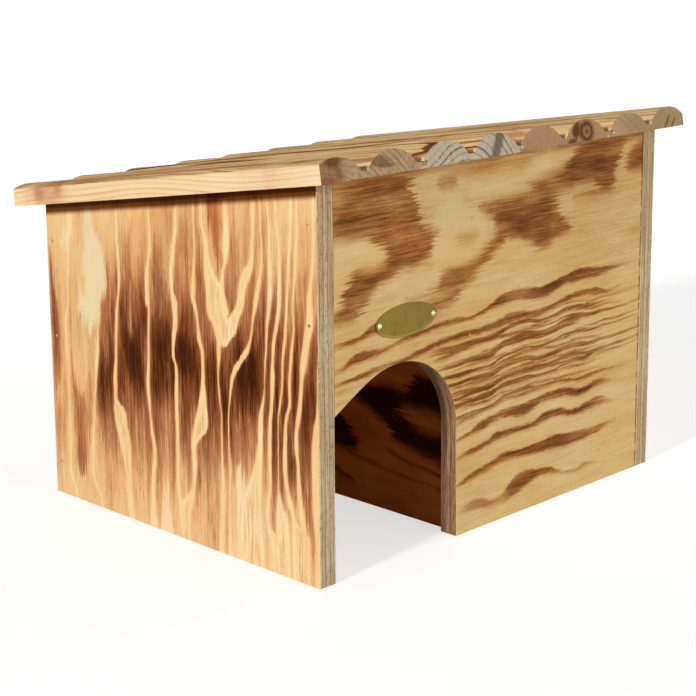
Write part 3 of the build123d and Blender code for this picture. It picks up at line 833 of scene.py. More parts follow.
PINE_TONES = [
    (0.00, shade(252, 228, 184)),
    (0.25, shade(246, 212, 160)),
    (0.50, shade(230, 184, 128)),
    (0.72, shade(198, 142, 90)),
    (0.88, shade(142, 90, 52)),
    (1.00, shade(96, 54, 28)),
]
PINE_BLUSH = shade(232, 146, 112)
# Painted shade: the tint that darkens and greys the tops of the boards
PAINTED_TOP_SHADE = shade(238, 228, 210)
GROOVE_BROWN = shade(106, 72, 46)
PINE_RELIEF = 0.0004
PINE_GLOSS = 0.0


def roof_places(finish):
    """Across, along and above the roof's plane, in millimetres."""
    node = finish.nodes.new("ShaderNodeMapping")
    node.inputs["Rotation"].default_value = (ROOF_SLOPE, 0, 0)
    front = FRONT_Y * MM
    top = FRONT_HEIGHT * MM
    node.inputs["Location"].default_value = (
        0, top * SLOPE_SINE - front * SLOPE_COSINE, -top * SLOPE_COSINE - front * SLOPE_SINE
    )
    finish.links.new(finish.place, node.inputs["Vector"])
    return [finish.times(place, 1 / MM) for place in finish.parts(node.outputs[0])]


def how_far(finish, places, middle, sizes):
    """Distance from a middle, with its own measure each way, where 1 is the rim."""
    shares = [
        finish.scaled(place, 1.0 / size, -centre / size)
        for place, centre, size in zip(places, middle, sizes)
    ]
    return finish.calc("SQRT", finish.add(*[finish.times(share, share) for share in shares]))


def growth_rings(finish, places, heart, ring, tilt, seed):
    """The dark late wood of each year round a heart line, with thick and thin years."""
    across, along, above = places
    wobble = finish.noise((across, 0.014), (along, 0.0040), (above, 0.014), detail=1.0)
    shiver = finish.noise((across, 0.12), (along, 0.010), (above, 0.12))
    side = finish.add(across, finish.scaled(along, tilt, -heart[0]))
    rise = finish.less(above, heart[1])
    far = finish.calc("SQRT", finish.add(finish.times(side, side), finish.times(rise, rise)))
    far = finish.nudged(finish.nudged(far, wobble, 30.0), shiver, 2.2)
    count = finish.times(far, 1.0 / ring)
    share = finish.calc("FRACT", count)
    late = finish.times(finish.step(share, 0.42, 0.90), finish.step(share, 1.0, 0.94))
    year = finish.noise((count, 0.9), seed, 0.0, detail=1.0)
    return finish.times(late, finish.step(year, 0.30, 0.66, 0.45, 1.0))


def shaded_tops_and_grooves(finish, colour, places, late, fibres, upward, seed):
    """The boards' tops: a painted shade that darkens and greys them, with dark grooves drawn along the
    grain.
    """
    across, along, _ = places
    top_mottle = finish.noise((across, 0.05), (along, 0.02), seed + 4.0, detail=3.0)
    # Painted shade: the tops are darkened and greyed by a tint, a little unevenly
    on_top = finish.step(upward, 0.15, 0.85)
    top_shade_strength = finish.times(on_top, finish.step(top_mottle, 0.2, 0.5, 0.75, 1.0))
    colour = finish.mix(top_shade_strength, colour, PAINTED_TOP_SHADE, "MULTIPLY")
    drawn = finish.noise((across, 0.26), (along, 0.0036), seed + 11.0, detail=4.0)
    grooves = finish.most(
        finish.times(finish.step(fibres, 0.52, 0.66), finish.step(top_mottle, 0.35, 0.60, 0.3, 1.0)),
        finish.times(late, finish.step(top_mottle, 0.62, 0.40)),
        finish.step(drawn, 0.52, 0.62),
    )
    return finish.mix(finish.times(grooves, on_top, 0.66), colour, GROOVE_BROWN)


def sawn_end(finish, places, late, grit, seed, ends, lines, blemishes):
    """A board's sawn end: rings, rays and grit, with knots and stains drawn over them."""
    across, _, above = places
    rays = finish.noise((across, 0.9), (above, 0.25), seed + 2.0)
    mottle = finish.noise((across, 0.30), (above, 0.30), seed + 3.0, detail=4.0)
    value = finish.add(finish.times(finish.times(late, late), lines), finish.scaled(grit, 0.60, -0.20))
    value = finish.add(value, finish.scaled(rays, 0.80, -0.36))
    value = finish.nudged(value, mottle, 1.0)
    colour = finish.tones(value, [(0.0, ends[0]), (0.5, ends[1]), (1.0, ends[2])])
    for middle, sizes, lean, inner, strength, tint in blemishes:
        leaning = finish.less(across, finish.times(above, lean))
        away = how_far(finish, (leaning, above), middle, sizes)
        away = finish.nudged(finish.nudged(away, grit, 0.6), mottle, 0.5 if inner else 1.1)
        mask = finish.step(away, 1.25, 0.60)
        if inner:
            mask = finish.times(mask, finish.step(away, inner - 0.3, inner))
        colour = finish.mix(finish.times(mask, strength), colour, tint)
    return colour


def roof_board_finish(
    name, heart, ring, tilt, seed, contrast, blush, ends, lines=0.6, blemishes=(), smears=()
):
    """A board sawn from one stem: growth rings round a heart line show on every face."""
    finish = Finish(name)
    places = roof_places(finish)
    across, along, above = places
    late = growth_rings(finish, places, heart, ring, tilt, seed)
    fibres = finish.noise((across, 1.1), (along, 0.022), (above, 1.1), detail=5.0, roughness=0.66)
    broad = finish.noise((across, 0.06), (along, 0.007), seed + 5.0, detail=3.0)
    value = finish.add(finish.times(late, contrast), finish.scaled(fibres, 0.46, -0.14))
    value = finish.add(value, finish.scaled(broad, 0.70, -0.30))
    colour = finish.tones(value, PINE_TONES)
    rosy = finish.noise((across, 0.14), (along, 0.012), seed + 8.0, detail=3.0)
    rosy = finish.step(rosy, 0.50, 0.66)
    colour = finish.mix(finish.times(rosy, blush), colour, PINE_BLUSH, "MULTIPLY")
    for middle, sizes, strength, tint in smears:
        away = finish.nudged(how_far(finish, places, middle, sizes), fibres, 1.6)
        colour = finish.mix(finish.step(away, 1.25, 0.25, 0.0, strength), colour, tint)
    facing = finish.parts(finish.facing)
    forward = finish.scaled(facing[2], -SLOPE_SINE, finish.times(facing[1], SLOPE_COSINE))
    upward = finish.scaled(facing[2], SLOPE_COSINE, finish.times(facing[1], SLOPE_SINE))
    # Painted shade on the boards' tops, and grooves drawn along their grain
    colour = shaded_tops_and_grooves(finish, colour, places, late, fibres, upward, seed)
    cut = finish.step(finish.size(forward), 0.55, 0.75)
    grit = finish.noise((across, 2.0), (along, 2.0), (above, 2.0), detail=3.0, roughness=0.75)
    end_colour = sawn_end(finish, places, late, grit, seed, ends, lines, blemishes)
    colour = finish.mix(cut, colour, end_colour)
    relief = finish.add(finish.times(late, 0.3), finish.times(fibres, 0.6))
    relief = finish.mix_value(cut, relief, finish.times(grit, 0.9))
    roughness = finish.add(finish.scaled(fibres, 0.2, 0.42), finish.times(cut, 0.2))
    return finish.surface(colour, roughness, relief, PINE_RELIEF, gloss=PINE_GLOSS)


def batten_finish():
    """Rough-sawn pine across the roof, with saw marks."""
    finish = Finish("batten_wood")
    across, along, above = roof_places(finish)
    fibres = finish.noise((across, 0.02), (along, 0.8), (above, 0.8), detail=4.0)
    bands = finish.noise((across, 0.004), (along, 0.22), (above, 0.22))
    saw = finish.noise((across, 0.9), (along, 0.05), (above, 0.05))
    value = finish.add(finish.scaled(fibres, 0.5, 0.0), finish.scaled(bands, 0.7, -0.2))
    colour = finish.tones(value, PINE_TONES)
    relief = finish.add(finish.times(fibres, 0.4), finish.times(saw, 0.6))
    roughness = finish.scaled(fibres, 0.2, 0.5)
    return finish.surface(colour, roughness, relief, PINE_RELIEF, gloss=PINE_GLOSS)


# Metals and the studio

METAL_RELIEF = 0.00002


def metal_finish(name, bright, dull, brush, rough, tarnish):
    """Brushed metal: fine lines one way, and a duller bloom in places."""
    finish = Finish(name)
    place = finish.parts(finish.place)
    lines = finish.noise(*[(way, fine / MM) for way, fine in zip(place, brush)], detail=3.0)
    bloom = finish.noise(*[(way, 90.0) for way in place], detail=5.0, roughness=0.6)
    aged = finish.times(finish.step(bloom, 0.40, 0.75), tarnish)
    colour = finish.mix(aged, bright, dull)
    colour = finish.mix(finish.times(finish.step(lines, 0.4, 0.7), 0.25), colour, dull)
    roughness = finish.add(finish.scaled(lines, 0.14, rough - 0.07), finish.times(aged, 0.15))
    relief = finish.add(lines, finish.times(bloom, 0.4))
    return finish.surface(colour, roughness, relief, METAL_RELIEF, metallic=1.0)


FLOOR_GLOW = 0.66
FLOOR_GREY = 0.52
FLOOR_RADIUS = 14.0
FLOOR_DROP = 0.0002
SKY_LIGHT = 0.18
SKY_SHOWN = 1.0
# Each lamp: where it shines from, its power, and how soft it is in degrees
LAMPS = [
    ("key_lamp", (-1.0, -0.10, 0.36), 2.46, 6),
    ("front_lamp", (0.35, -1.0, 0.14), 1.62, 50),
    ("back_lamp", (0.45, 1.0, 0.25), 1.1, 50),
    ("right_lamp", (1.0, -0.15, 0.30), 1.0, 50),
]
# The camera: its focal length is in widths of the picture
PICTURE_FOCUS = 1747.3 / 696
SENSOR_WIDTH = 36.0
CAMERA_PLACE = (-0.9409, -0.9222, 0.4444)
CAMERA_TURN = -45.39
CAMERA_DIP = 11.80
CAMERA_ROLL = -0.44
CAMERA_SHIFT = -0.119


def floor_finish():
    """A pale studio floor that glows to the eye alone, so that it looks white and keeps the shadow."""
    finish = Finish("studio_floor")
    path = finish.nodes.new("ShaderNodeLightPath")
    seen = finish.most(
        path.outputs["Is Camera Ray"], path.outputs["Is Glossy Ray"], path.outputs["Is Transmission Ray"]
    )
    shader = finish.nodes.new("ShaderNodeBsdfPrincipled")
    shader.inputs["Base Color"].default_value = (FLOOR_GREY, FLOOR_GREY, FLOOR_GREY, 1)
    shader.inputs["Roughness"].default_value = 0.9
    shader.inputs["Specular IOR Level"].default_value = 0.0
    shader.inputs["Emission Color"].default_value = (1, 1, 1, 1)
    finish.give(shader.inputs["Emission Strength"], finish.times(seen, FLOOR_GLOW))
    output = finish.nodes.new("ShaderNodeOutputMaterial")
    finish.links.new(shader.outputs[0], output.inputs["Surface"])
    return finish.material


def lay_floor():
    bpy.ops.object.select_all(action="DESELECT")
    bpy.ops.mesh.primitive_circle_add(
        vertices=96, radius=FLOOR_RADIUS, fill_type="NGON", location=(0, 0, -FLOOR_DROP)
    )
    floor = bpy.context.object
    floor.name = "studio_floor"
    floor.data.materials.append(floor_finish())


def hang_sky():
    """A white sky to look at, which lights the scene only softly."""
    world = bpy.data.worlds.new("studio")
    bpy.context.scene.world = world
    world.use_nodes = True
    nodes = world.node_tree.nodes
    links = world.node_tree.links
    nodes.clear()
    path = nodes.new("ShaderNodeLightPath")
    seen = path.outputs["Is Camera Ray"]
    for ray in ("Is Glossy Ray", "Is Transmission Ray"):
        either = nodes.new("ShaderNodeMath")
        either.operation = "MAXIMUM"
        links.new(seen, either.inputs[0])
        links.new(path.outputs[ray], either.inputs[1])
        seen = either.outputs[0]
    strength = nodes.new("ShaderNodeMapRange")
    strength.inputs["To Min"].default_value = SKY_LIGHT
    strength.inputs["To Max"].default_value = SKY_SHOWN
    links.new(seen, strength.inputs["Value"])
    sky = nodes.new("ShaderNodeBackground")
    sky.inputs["Color"].default_value = (1, 1, 1, 1)
    links.new(strength.outputs[0], sky.inputs["Strength"])
    output = nodes.new("ShaderNodeOutputWorld")
    links.new(sky.outputs[0], output.inputs["Surface"])


def hang_lamps():
    for name, toward, power, softness in LAMPS:
        lamp = bpy.data.lights.new(name, "SUN")
        lamp.energy = power
        lamp.angle = math.radians(softness)
        holder = bpy.data.objects.new(name, lamp)
        holder.rotation_euler = Vector(toward).to_track_quat("Z", "Y").to_euler()
        bpy.context.scene.collection.objects.link(holder)


def place_camera():
    """The photograph's own angle: 45 degrees round to the left and 12 degrees down."""
    camera = bpy.data.cameras.new("camera")
    camera.sensor_width = SENSOR_WIDTH
    camera.lens = PICTURE_FOCUS * SENSOR_WIDTH
    camera.shift_y = CAMERA_SHIFT
    camera.clip_start = 0.05
    camera.clip_end = 60.0
    holder = bpy.data.objects.new("camera", camera)
    turn = Matrix.Rotation(math.radians(CAMERA_TURN), 3, "Z")
    tip = Matrix.Rotation(math.radians(90 - CAMERA_DIP), 3, "X")
    roll = Matrix.Rotation(math.radians(CAMERA_ROLL), 3, "Z")
    holder.rotation_euler = (turn @ tip @ roll).to_euler()
    holder.location = CAMERA_PLACE
    bpy.context.scene.collection.objects.link(holder)
    bpy.context.scene.camera = holder


# Sizes of the small metal pieces, in millimetres
PLATE_PLACE = (-100.8, FRONT_Y, 168.2)
PLATE_HALF_WIDTH = 30.0
PLATE_HALF_HEIGHT = 11.3
PLATE_THICKNESS = 1.0
PLATE_RIM = 0.75
PLATE_FIELD_DEPTH = 0.18
PLATE_FIELD_EDGE = 1.2
PLATE_EASE = 0.22
PLATE_PIN_REACH = 26.6
PLATE_PIN_COLLAR = 1.9
PLATE_PIN_COLLAR_DEPTH = 0.25
PLATE_PIN_DOME = 1.55
PLATE_PIN_SHANK = 0.7
PLATE_PIN_LENGTH = 9.0
PLATE_PIN_POINT = 2.0
HINGE_PLACES = {"left": -131.025, "right": 125.225}
HINGE_Y = 145.773
HINGE_Z = 219.601
HINGE_HALF = 25.0
LEAF_REACH = 15.0
LEAF_FACE = 2.9
LEAF_BACK = 4.4
LEAF_CORNER = 2.2
LEAF_EASE = 0.2
STRAP_START = 5.2
CURL_DROP = 0.4
CURL_TURN = math.radians(305)
CURL_STEPS = 22
KNUCKLE_EDGE = 8.333
KNUCKLE_GAP = 0.15
PIN_RADIUS = 1.9
PIN_HEAD_RADIUS = 2.8
PIN_NECK = 0.02
PIN_HEAD_DEPTHS = (0.539, 0.441)
PIN_CROWN = 0.72
PIN_HALF = 25.15
PIN_EASE = 0.15
LEAF_SCREW_ALONG = 15.0
LEAF_SCREW_REACH = 10.0
# Each kind of screw: radius of the head, radius of the shank, depth of the head, whole length
LEAF_SCREW = (2.8, 1.4, 1.4, 9.0)
LEAF_SCREW_ROOM = 0.15
BATTEN_SCREW = (3.5, 1.75, 2.4, 20.0)
BATTEN_SCREW_SLOPE_PLACES = (39.29, 253.23)
BATTEN_DEPTH = 12.0
THREAD_TURNS = 5
# What is left of the width at the root of a thread and at a point
THREAD_ROOT = 0.78
POINT_SHARE = 0.1
NAIL_POINT_SHARE = 0.08
# Shares of a screw's head: its rim and dish, and the arm, width, depth and foot of its recess
SCREW_RIM = 0.12
SCREW_DISH = 0.04
RECESS_ARM = 0.62
RECESS_WIDTH = 0.3
RECESS_DEPTH = 1.1
RECESS_FOOT = (0.35, 0.55)
# Each nail, whose head lies a little under the face of the wood
NAIL_HEAD = 1.2
NAIL_HEAD_DEPTH = 0.5
NAIL_HEAD_PLACE = -0.65
NAIL_RIM = 0.3
NAIL_RIM_RISE = 0.08
NAIL_DIMPLE_EDGE = 0.35
NAIL_DIMPLE = 0.16
NAIL_THROAT = 0.2
NAIL_SHANK = 0.7
NAIL_SHANK_LENGTH = 30.5
NAIL_POINT = 3.0
FRONT_NAIL_HEIGHTS = (35.1, 88.0, 145.0, 228.4)
LEFT_NAIL_HEIGHTS = (177.4, 242.7)
RIGHT_NAIL_HEIGHTS = (29.7, 99.9, 177.4, 242.7)
BACK_NAIL_HEIGHTS = (25.4, 70.2, 124.5, 197.1)
FRONT_NAIL_X = -34.0
CUT_TOLERANCE = 1e-7
TOWARDS_FRONT = Vector((0, -1, 0))
TOWARDS_BACK = Vector((0, 1, 0))
TOWARDS_LEFT = Vector((-1, 0, 0))
TOWARDS_RIGHT = Vector((1, 0, 0))
UPWARDS = Vector((0, 0, 1))
UP_THE_ROOF = Vector((0, SLOPE_SINE, SLOPE_COSINE))
DOWN_THE_SLOPE = Vector((0, SLOPE_COSINE, -SLOPE_SINE))


def start_piece(name):
    """Names the primitive that was just added, and settles its size and place in its mesh."""
    piece = bpy.context.object
    piece.name = name
    bpy.ops.object.transform_apply(location=True, rotation=True, scale=True)
    return piece


def clear_choice():
    """Leaves nothing selected, so that the next step acts on its own piece alone."""
    bpy.ops.object.select_all(action="DESELECT")


def choose(piece):
    """Leaves only this piece selected."""
    clear_choice()
    piece.select_set(True)
    bpy.context.view_layer.objects.active = piece


def open_up(kind="FACE"):
    """Opens the piece in hand with none of its faces or edges selected."""
    bpy.ops.object.mode_set(mode="EDIT")
    bpy.ops.mesh.select_mode(type=kind)
    bpy.ops.mesh.select_all(action="DESELECT")


def close_up():
    bpy.ops.object.mode_set(mode="OBJECT")


def pick_faces(piece, wanted):
    """Opens a piece with only the faces selected whose middle and direction pass a test."""
    open_up()
    close_up()
    for face in piece.data.polygons:
        face.select = wanted(face.center / MM, face.normal)
    bpy.ops.object.mode_set(mode="EDIT")


def faces_up(middle, facing):
    return facing.z > 0.9


def faces_down(middle, facing):
    return facing.z < -0.9


def pull(x, y, z):
    """Extrudes what is selected by a distance in millimetres."""
    bpy.ops.mesh.extrude_region_move(TRANSFORM_OT_translate={"value": (x * MM, y * MM, z * MM)})


def grow(x, y, z):
    """Scales what is selected about the middle of the piece."""
    bpy.ops.transform.resize(value=(x, y, z), center_override=(0, 0, 0))


def inset(width, rise=0.0):
    """Draws the rim of the selected faces inwards, and lifts or sinks what lies inside it."""
    bpy.ops.mesh.inset(thickness=width * MM, depth=rise * MM)


def cut_across(place, direction, **how):
    """Cuts the whole piece along a plane through a point in millimetres."""
    bpy.ops.mesh.select_all(action="SELECT")
    bpy.ops.mesh.bisect(
        plane_co=Vector(place) * MM, plane_no=direction, threshold=CUT_TOLERANCE, **how
    )


def ease_edges(piece, width, segments=2, angle=40):
    """Rounds every sharp edge of a piece."""
    bevel = piece.modifiers.new("eased", "BEVEL")
    bevel.width = width * MM
    bevel.segments = segments
    bevel.limit_method = "ANGLE"
    bevel.angle_limit = math.radians(angle)
    bpy.ops.object.modifier_apply(modifier=bevel.name)


def cut_away(piece, cutter):
    """Takes the cutter's shape out of a piece, and removes the cutter."""
    cut = piece.modifiers.new("cut", "BOOLEAN")
    cut.operation = "DIFFERENCE"
    cut.object = cutter
    bpy.context.view_layer.objects.active = piece
    bpy.ops.object.modifier_apply(modifier=cut.name)
    bpy.data.objects.remove(cutter)


def smooth(piece, angle=35):
    """Drops faces that have shrunk to nothing, and shades the gentle edges smooth."""
    choose(piece)
    bpy.ops.object.mode_set(mode="EDIT")
    bpy.ops.mesh.select_all(action="SELECT")
    bpy.ops.mesh.dissolve_degenerate(threshold=0.002 * MM)
    close_up()
    bpy.ops.object.shade_smooth_by_angle(angle=math.radians(angle))


def set_down(piece, place, across, outwards):
    """Puts a piece at its place with its x and z along two directions, kept in its mesh."""
    upwards = outwards.cross(across)
    turn = Matrix((across, upwards, outwards)).transposed().to_4x4()
    turn.translation = Vector(place) * MM
    piece.data.transform(turn)


def copies(pattern, name, places):
    """Copies a small piece to each place, joined as one piece, and removes the pattern."""
    clear_choice()
    made = []
    for place, across, outwards in places:
        copy = pattern.copy()
        copy.data = pattern.data.copy()
        bpy.context.collection.objects.link(copy)
        set_down(copy, place, across, outwards)
        copy.select_set(True)
        made.append(copy)
    bpy.context.view_layer.objects.active = made[0]
    bpy.ops.object.join()
    made[0].name = name
    bpy.data.objects.remove(pattern)
    return made[0]


def hand_over(piece, body, finish, node):
    """Gives a piece its finish, the body that it moves with, and the node that it stands for."""
    piece.data.materials.clear()
    piece.data.materials.append(finish)
    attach(piece, body)
    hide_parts(node)


def model_plate():
    """The oval plate: a narrow raised rim round a sunk field, with eased edges."""
    clear_choice()
    bpy.ops.mesh.primitive_cylinder_add(
        vertices=128,
        radius=1.0,
        depth=1.0,
        location=(0, 0, PLATE_THICKNESS / 2 * MM),
        scale=(PLATE_HALF_WIDTH * MM, PLATE_HALF_HEIGHT * MM, PLATE_THICKNESS * MM),
    )
    plate = start_piece("bare_oval_plate")
    pick_faces(plate, faces_up)
    inset(PLATE_RIM)
    inset(PLATE_FIELD_DEPTH, -PLATE_FIELD_DEPTH)
    inset(PLATE_FIELD_EDGE)
    close_up()
    ease_edges(plate, PLATE_EASE, segments=3, angle=30)
    set_down(plate, PLATE_PLACE, TOWARDS_RIGHT, TOWARDS_FRONT)
    smooth(plate, 30)
    return plate


def model_plate_pins():
    """The two brass pins: a dome on a thin collar, and a shank that tapers to its point."""
    clear_choice()
    bpy.ops.mesh.primitive_uv_sphere_add(segments=32, ring_count=16, radius=PLATE_PIN_DOME * MM)
    pin = start_piece("domed_pin")
    bpy.ops.object.mode_set(mode="EDIT")
    cut_across((0, 0, PLATE_PIN_COLLAR_DEPTH), UPWARDS, clear_inner=True, use_fill=True)
    pick_faces(pin, faces_down)
    spread = PLATE_PIN_COLLAR / PLATE_PIN_DOME
    grow(spread, spread, 1.0)
    pull(0, 0, -PLATE_PIN_COLLAR_DEPTH)
    inset(PLATE_PIN_COLLAR - PLATE_PIN_SHANK)
    pull(0, 0, PLATE_PIN_POINT - PLATE_PIN_LENGTH)
    pull(0, 0, -PLATE_PIN_POINT)
    grow(POINT_SHARE, POINT_SHARE, 1.0)
    close_up()
    smooth(pin, 40)
    x, y, z = PLATE_PLACE
    face = y - (PLATE_THICKNESS - PLATE_FIELD_DEPTH)
    places = [((x + side * PLATE_PIN_REACH, face, z), TOWARDS_RIGHT, TOWARDS_FRONT) for side in (-1, 1)]
    return copies(pin, "domed_brass_pins", places)


def start_screw(name, radius, shank_share, height):
    """The cone of a countersunk head, its face at zero and facing up, open at its foot."""
    clear_choice()
    bpy.ops.mesh.primitive_cylinder_add(
        vertices=32, radius=radius * MM, depth=height * MM, location=(0, 0, -height / 2 * MM)
    )
    cone = start_piece(name)
    pick_faces(cone, faces_down)
    grow(shank_share, shank_share, 1.0)
    return cone


def screw_cutter(head, shank, height):
    """The countersunk hole that a screw needs, as a closed shape to cut with."""
    cutter = start_screw("cutter", head + LEAF_SCREW_ROOM, shank / head, height)
    pull(0, 0, -4 * height)
    pick_faces(cutter, faces_up)
    pull(0, 0, height)
    close_up()
    return cutter


def cross_recess(screw, head, height):
    """Cuts the two crossed slots into a screw's head, each narrower at its foot."""
    arms = 2 * RECESS_ARM * head * MM
    width = RECESS_WIDTH * head * MM
    depth = RECESS_DEPTH * height * MM
    for turned in (0.0, math.pi / 2):
        clear_choice()
        bpy.ops.mesh.primitive_cube_add(size=1.0, location=(0, 0, 0), scale=(arms, width, depth))
        slot = start_piece("slot")
        pick_faces(slot, faces_down)
        grow(*RECESS_FOOT, 1.0)
        close_up()
        slot.data.transform(Matrix.Rotation(turned, 4, "Z"))
        cut_away(screw, slot)


def model_screw(head, shank, height, length):
    """A countersunk screw with a ridged shank, a point, and a cross recess in its head."""
    screw = start_screw("screw", head, shank / head, height)
    run = (length - height) / (2 * THREAD_TURNS + 2)
    for _ in range(THREAD_TURNS):
        pull(0, 0, -run)
        grow(THREAD_ROOT, THREAD_ROOT, 1.0)
        pull(0, 0, -run)
        grow(1 / THREAD_ROOT, 1 / THREAD_ROOT, 1.0)
    pull(0, 0, -2 * run)
    grow(POINT_SHARE, POINT_SHARE, 1.0)
    pick_faces(screw, faces_up)
    inset(SCREW_RIM * head, SCREW_DISH * head)
    close_up()
    cross_recess(screw, head, height)
    smooth(screw, 30)
    return screw


def hinge_directions(side):
    """The directions across and outwards of a wall leaf and a roof leaf, as seen from their pin."""
    if side == "wall":
        return TOWARDS_LEFT, TOWARDS_FRONT
    return TOWARDS_RIGHT, UP_THE_ROOF


def leaf_screw_places(side):
    """Where the screws of both hinges' leaves on one side have their heads."""
    across, inwards = hinge_directions(side)
    along = inwards.cross(across)
    places = []
    for x in HINGE_PLACES.values():
        pin = Vector((x, HINGE_Y, HINGE_Z))
        for end in (-1, 1):
            place = pin + end * LEAF_SCREW_ALONG * across
            place += LEAF_SCREW_REACH * along + LEAF_FACE * inwards
            places.append((place, across, -inwards))
    return places


def curl_knuckles(leaf, outer_knuckles):
    """Cuts a leaf's edge in three, and curls the outer two or the middle one round the pin."""
    gap = KNUCKLE_GAP if outer_knuckles else -KNUCKLE_GAP
    edge = KNUCKLE_EDGE + gap
    bpy.ops.object.mode_set(mode="EDIT")
    for x in (-edge, edge):
        cut_across((x, 0, 0), TOWARDS_RIGHT)

    def strap_end(middle, facing):
        return facing.y < -0.9 and (abs(middle.x) > edge) == outer_knuckles

    pick_faces(leaf, strap_end)
    pull(0, -STRAP_START, -CURL_DROP)
    bpy.ops.mesh.spin(steps=CURL_STEPS, angle=CURL_TURN, center=(0, 0, 0), axis=(-1, 0, 0))
    bpy.ops.mesh.select_all(action="SELECT")
    bpy.ops.mesh.normals_make_consistent(inside=False)
    close_up()


def round_corners(leaf):
    """Rounds the two far corners of a leaf."""

    def at_corner(point):
        place = leaf.data.vertices[point].co / MM
        return abs(place.y - LEAF_REACH) < 0.01 and abs(abs(place.x) - HINGE_HALF) < 0.01

    open_up("EDGE")
    close_up()
    for line in leaf.data.edges:
        line.select = all(at_corner(point) for point in line.vertices)
    bpy.ops.object.mode_set(mode="EDIT")
    bpy.ops.mesh.bevel(offset=LEAF_CORNER * MM, segments=6, affect="EDGES")
    close_up()


def model_leaf(name, outer_knuckles):
    """A hinge leaf of sheet steel with its knuckles curled round the pin, cut for its screws."""
    clear_choice()
    bpy.ops.mesh.primitive_cube_add(
        size=1.0,
        location=(0, (STRAP_START + LEAF_REACH) / 2 * MM, (LEAF_FACE + LEAF_BACK) / 2 * MM),
        scale=(2 * HINGE_HALF * MM, (LEAF_REACH - STRAP_START) * MM, (LEAF_BACK - LEAF_FACE) * MM),
    )
    leaf = start_piece(name)
    curl_knuckles(leaf, outer_knuckles)
    round_corners(leaf)
    for end in (-1, 1):
        cutter = screw_cutter(*LEAF_SCREW[:3])
        place = (end * LEAF_SCREW_ALONG, LEAF_SCREW_REACH, LEAF_FACE)
        set_down(cutter, place, TOWARDS_RIGHT, -UPWARDS)
        cut_away(leaf, cutter)
    choose(leaf)
    ease_edges(leaf, LEAF_EASE, angle=50)
    smooth(leaf)
    return leaf


def model_hinge_pin(name):
    """A hinge pin with a rounded head past each end."""
    clear_choice()
    bpy.ops.mesh.primitive_cylinder_add(
        vertices=32, radius=PIN_RADIUS * MM, depth=2 * PIN_HALF * MM, rotation=(0, math.pi / 2, 0)
    )
    pin = start_piece(name)
    spread = PIN_HEAD_RADIUS / PIN_RADIUS
    for end in (-1, 1):
        pick_faces(pin, lambda middle, facing: facing.x * end > 0.9)
        pull(end * PIN_NECK, 0, 0)
        grow(1.0, spread, spread)
        for depth in PIN_HEAD_DEPTHS:
            pull(end * depth, 0, 0)
        grow(1.0, PIN_CROWN, PIN_CROWN)
        close_up()
    ease_edges(pin, PIN_EASE, angle=25)
    smooth(pin, 40)
    return pin


def model_nail():
    """A wire nail: a flat head with a struck dimple, and a shank cut to a point."""
    clear_choice()
    bpy.ops.mesh.primitive_cylinder_add(
        vertices=20,
        radius=NAIL_HEAD * MM,
        depth=NAIL_HEAD_DEPTH * MM,
        location=(0, 0, NAIL_HEAD_PLACE * MM),
    )
    nail = start_piece("nail")
    pick_faces(nail, faces_up)
    inset(NAIL_RIM, NAIL_RIM_RISE)
    inset(NAIL_DIMPLE_EDGE, -NAIL_DIMPLE)
    pick_faces(nail, faces_down)
    inset(NAIL_HEAD - NAIL_SHANK, NAIL_THROAT)
    pull(0, 0, -NAIL_SHANK_LENGTH)
    pull(0, 0, -NAIL_POINT)
    grow(NAIL_POINT_SHARE, NAIL_POINT_SHARE, 1.0)
    close_up()
    smooth(nail)
    return nail


def side_nail_places(x, outwards, front_heights):
    """Where a side wall's nails have their heads: along its front edge, then its back edge."""
    front = [(x, FRONT_Y + WALL / 2, z) for z in front_heights]
    back = [(x, BACK_Y - WALL / 2, z) for z in BACK_NAIL_HEIGHTS]
    return [(place, TOWARDS_BACK, outwards) for place in front + back]


def batten_screw_places():
    """Where the battens' screws have their heads, under the crests that the battens pass."""
    places = []
    for slope_place in BATTEN_SCREW_SLOPE_PLACES:
        for number in range(1, 7):
            x = FIRST_CREST + number * ROUND_SPACING
            place = Vector((x, FRONT_Y, FRONT_HEIGHT))
            place += slope_place * DOWN_THE_SLOPE - BATTEN_DEPTH * UP_THE_ROOF
            places.append((place, TOWARDS_RIGHT, -UP_THE_ROOF))
    return places


def fit_plate(brass, pin_brass):
    hand_over(model_plate(), "house", brass, "brass_plate")
    hand_over(model_plate_pins(), "house", pin_brass, "plate_pins")


def fit_hinges(steel):
    """Two hinges, their wall leaves and pins on the house and their roof leaves on the lid."""
    for side, x in HINGE_PLACES.items():
        place = (x, HINGE_Y, HINGE_Z)
        for part, body in (("wall", "house"), ("roof", "lid")):
            leaf = model_leaf(f"{side}_{part}_hinge_leaf", part == "wall")
            set_down(leaf, place, *hinge_directions(part))
            hand_over(leaf, body, steel, f"{side}_hinge_{part}_leaf")
        pin = model_hinge_pin(f"{side}_round_headed_pin")
        set_down(pin, place, TOWARDS_RIGHT, UPWARDS)
        hand_over(pin, "house", steel, f"{side}_hinge_pin")


def fit_screws(steel):
    """The screws of the wall leaves, of the roof leaves and of the battens."""
    wall_screws = copies(model_screw(*LEAF_SCREW), "wall_leaf_screws", leaf_screw_places("wall"))
    hand_over(wall_screws, "house", steel, "hinge_wall_screws")
    roof_screws = copies(model_screw(*LEAF_SCREW), "roof_leaf_screws", leaf_screw_places("roof"))
    hand_over(roof_screws, "lid", steel, "hinge_roof_screws")
    long_screws = copies(model_screw(*BATTEN_SCREW), "cross_head_screws", batten_screw_places())
    hand_over(long_screws, "lid", steel, "batten_screws")


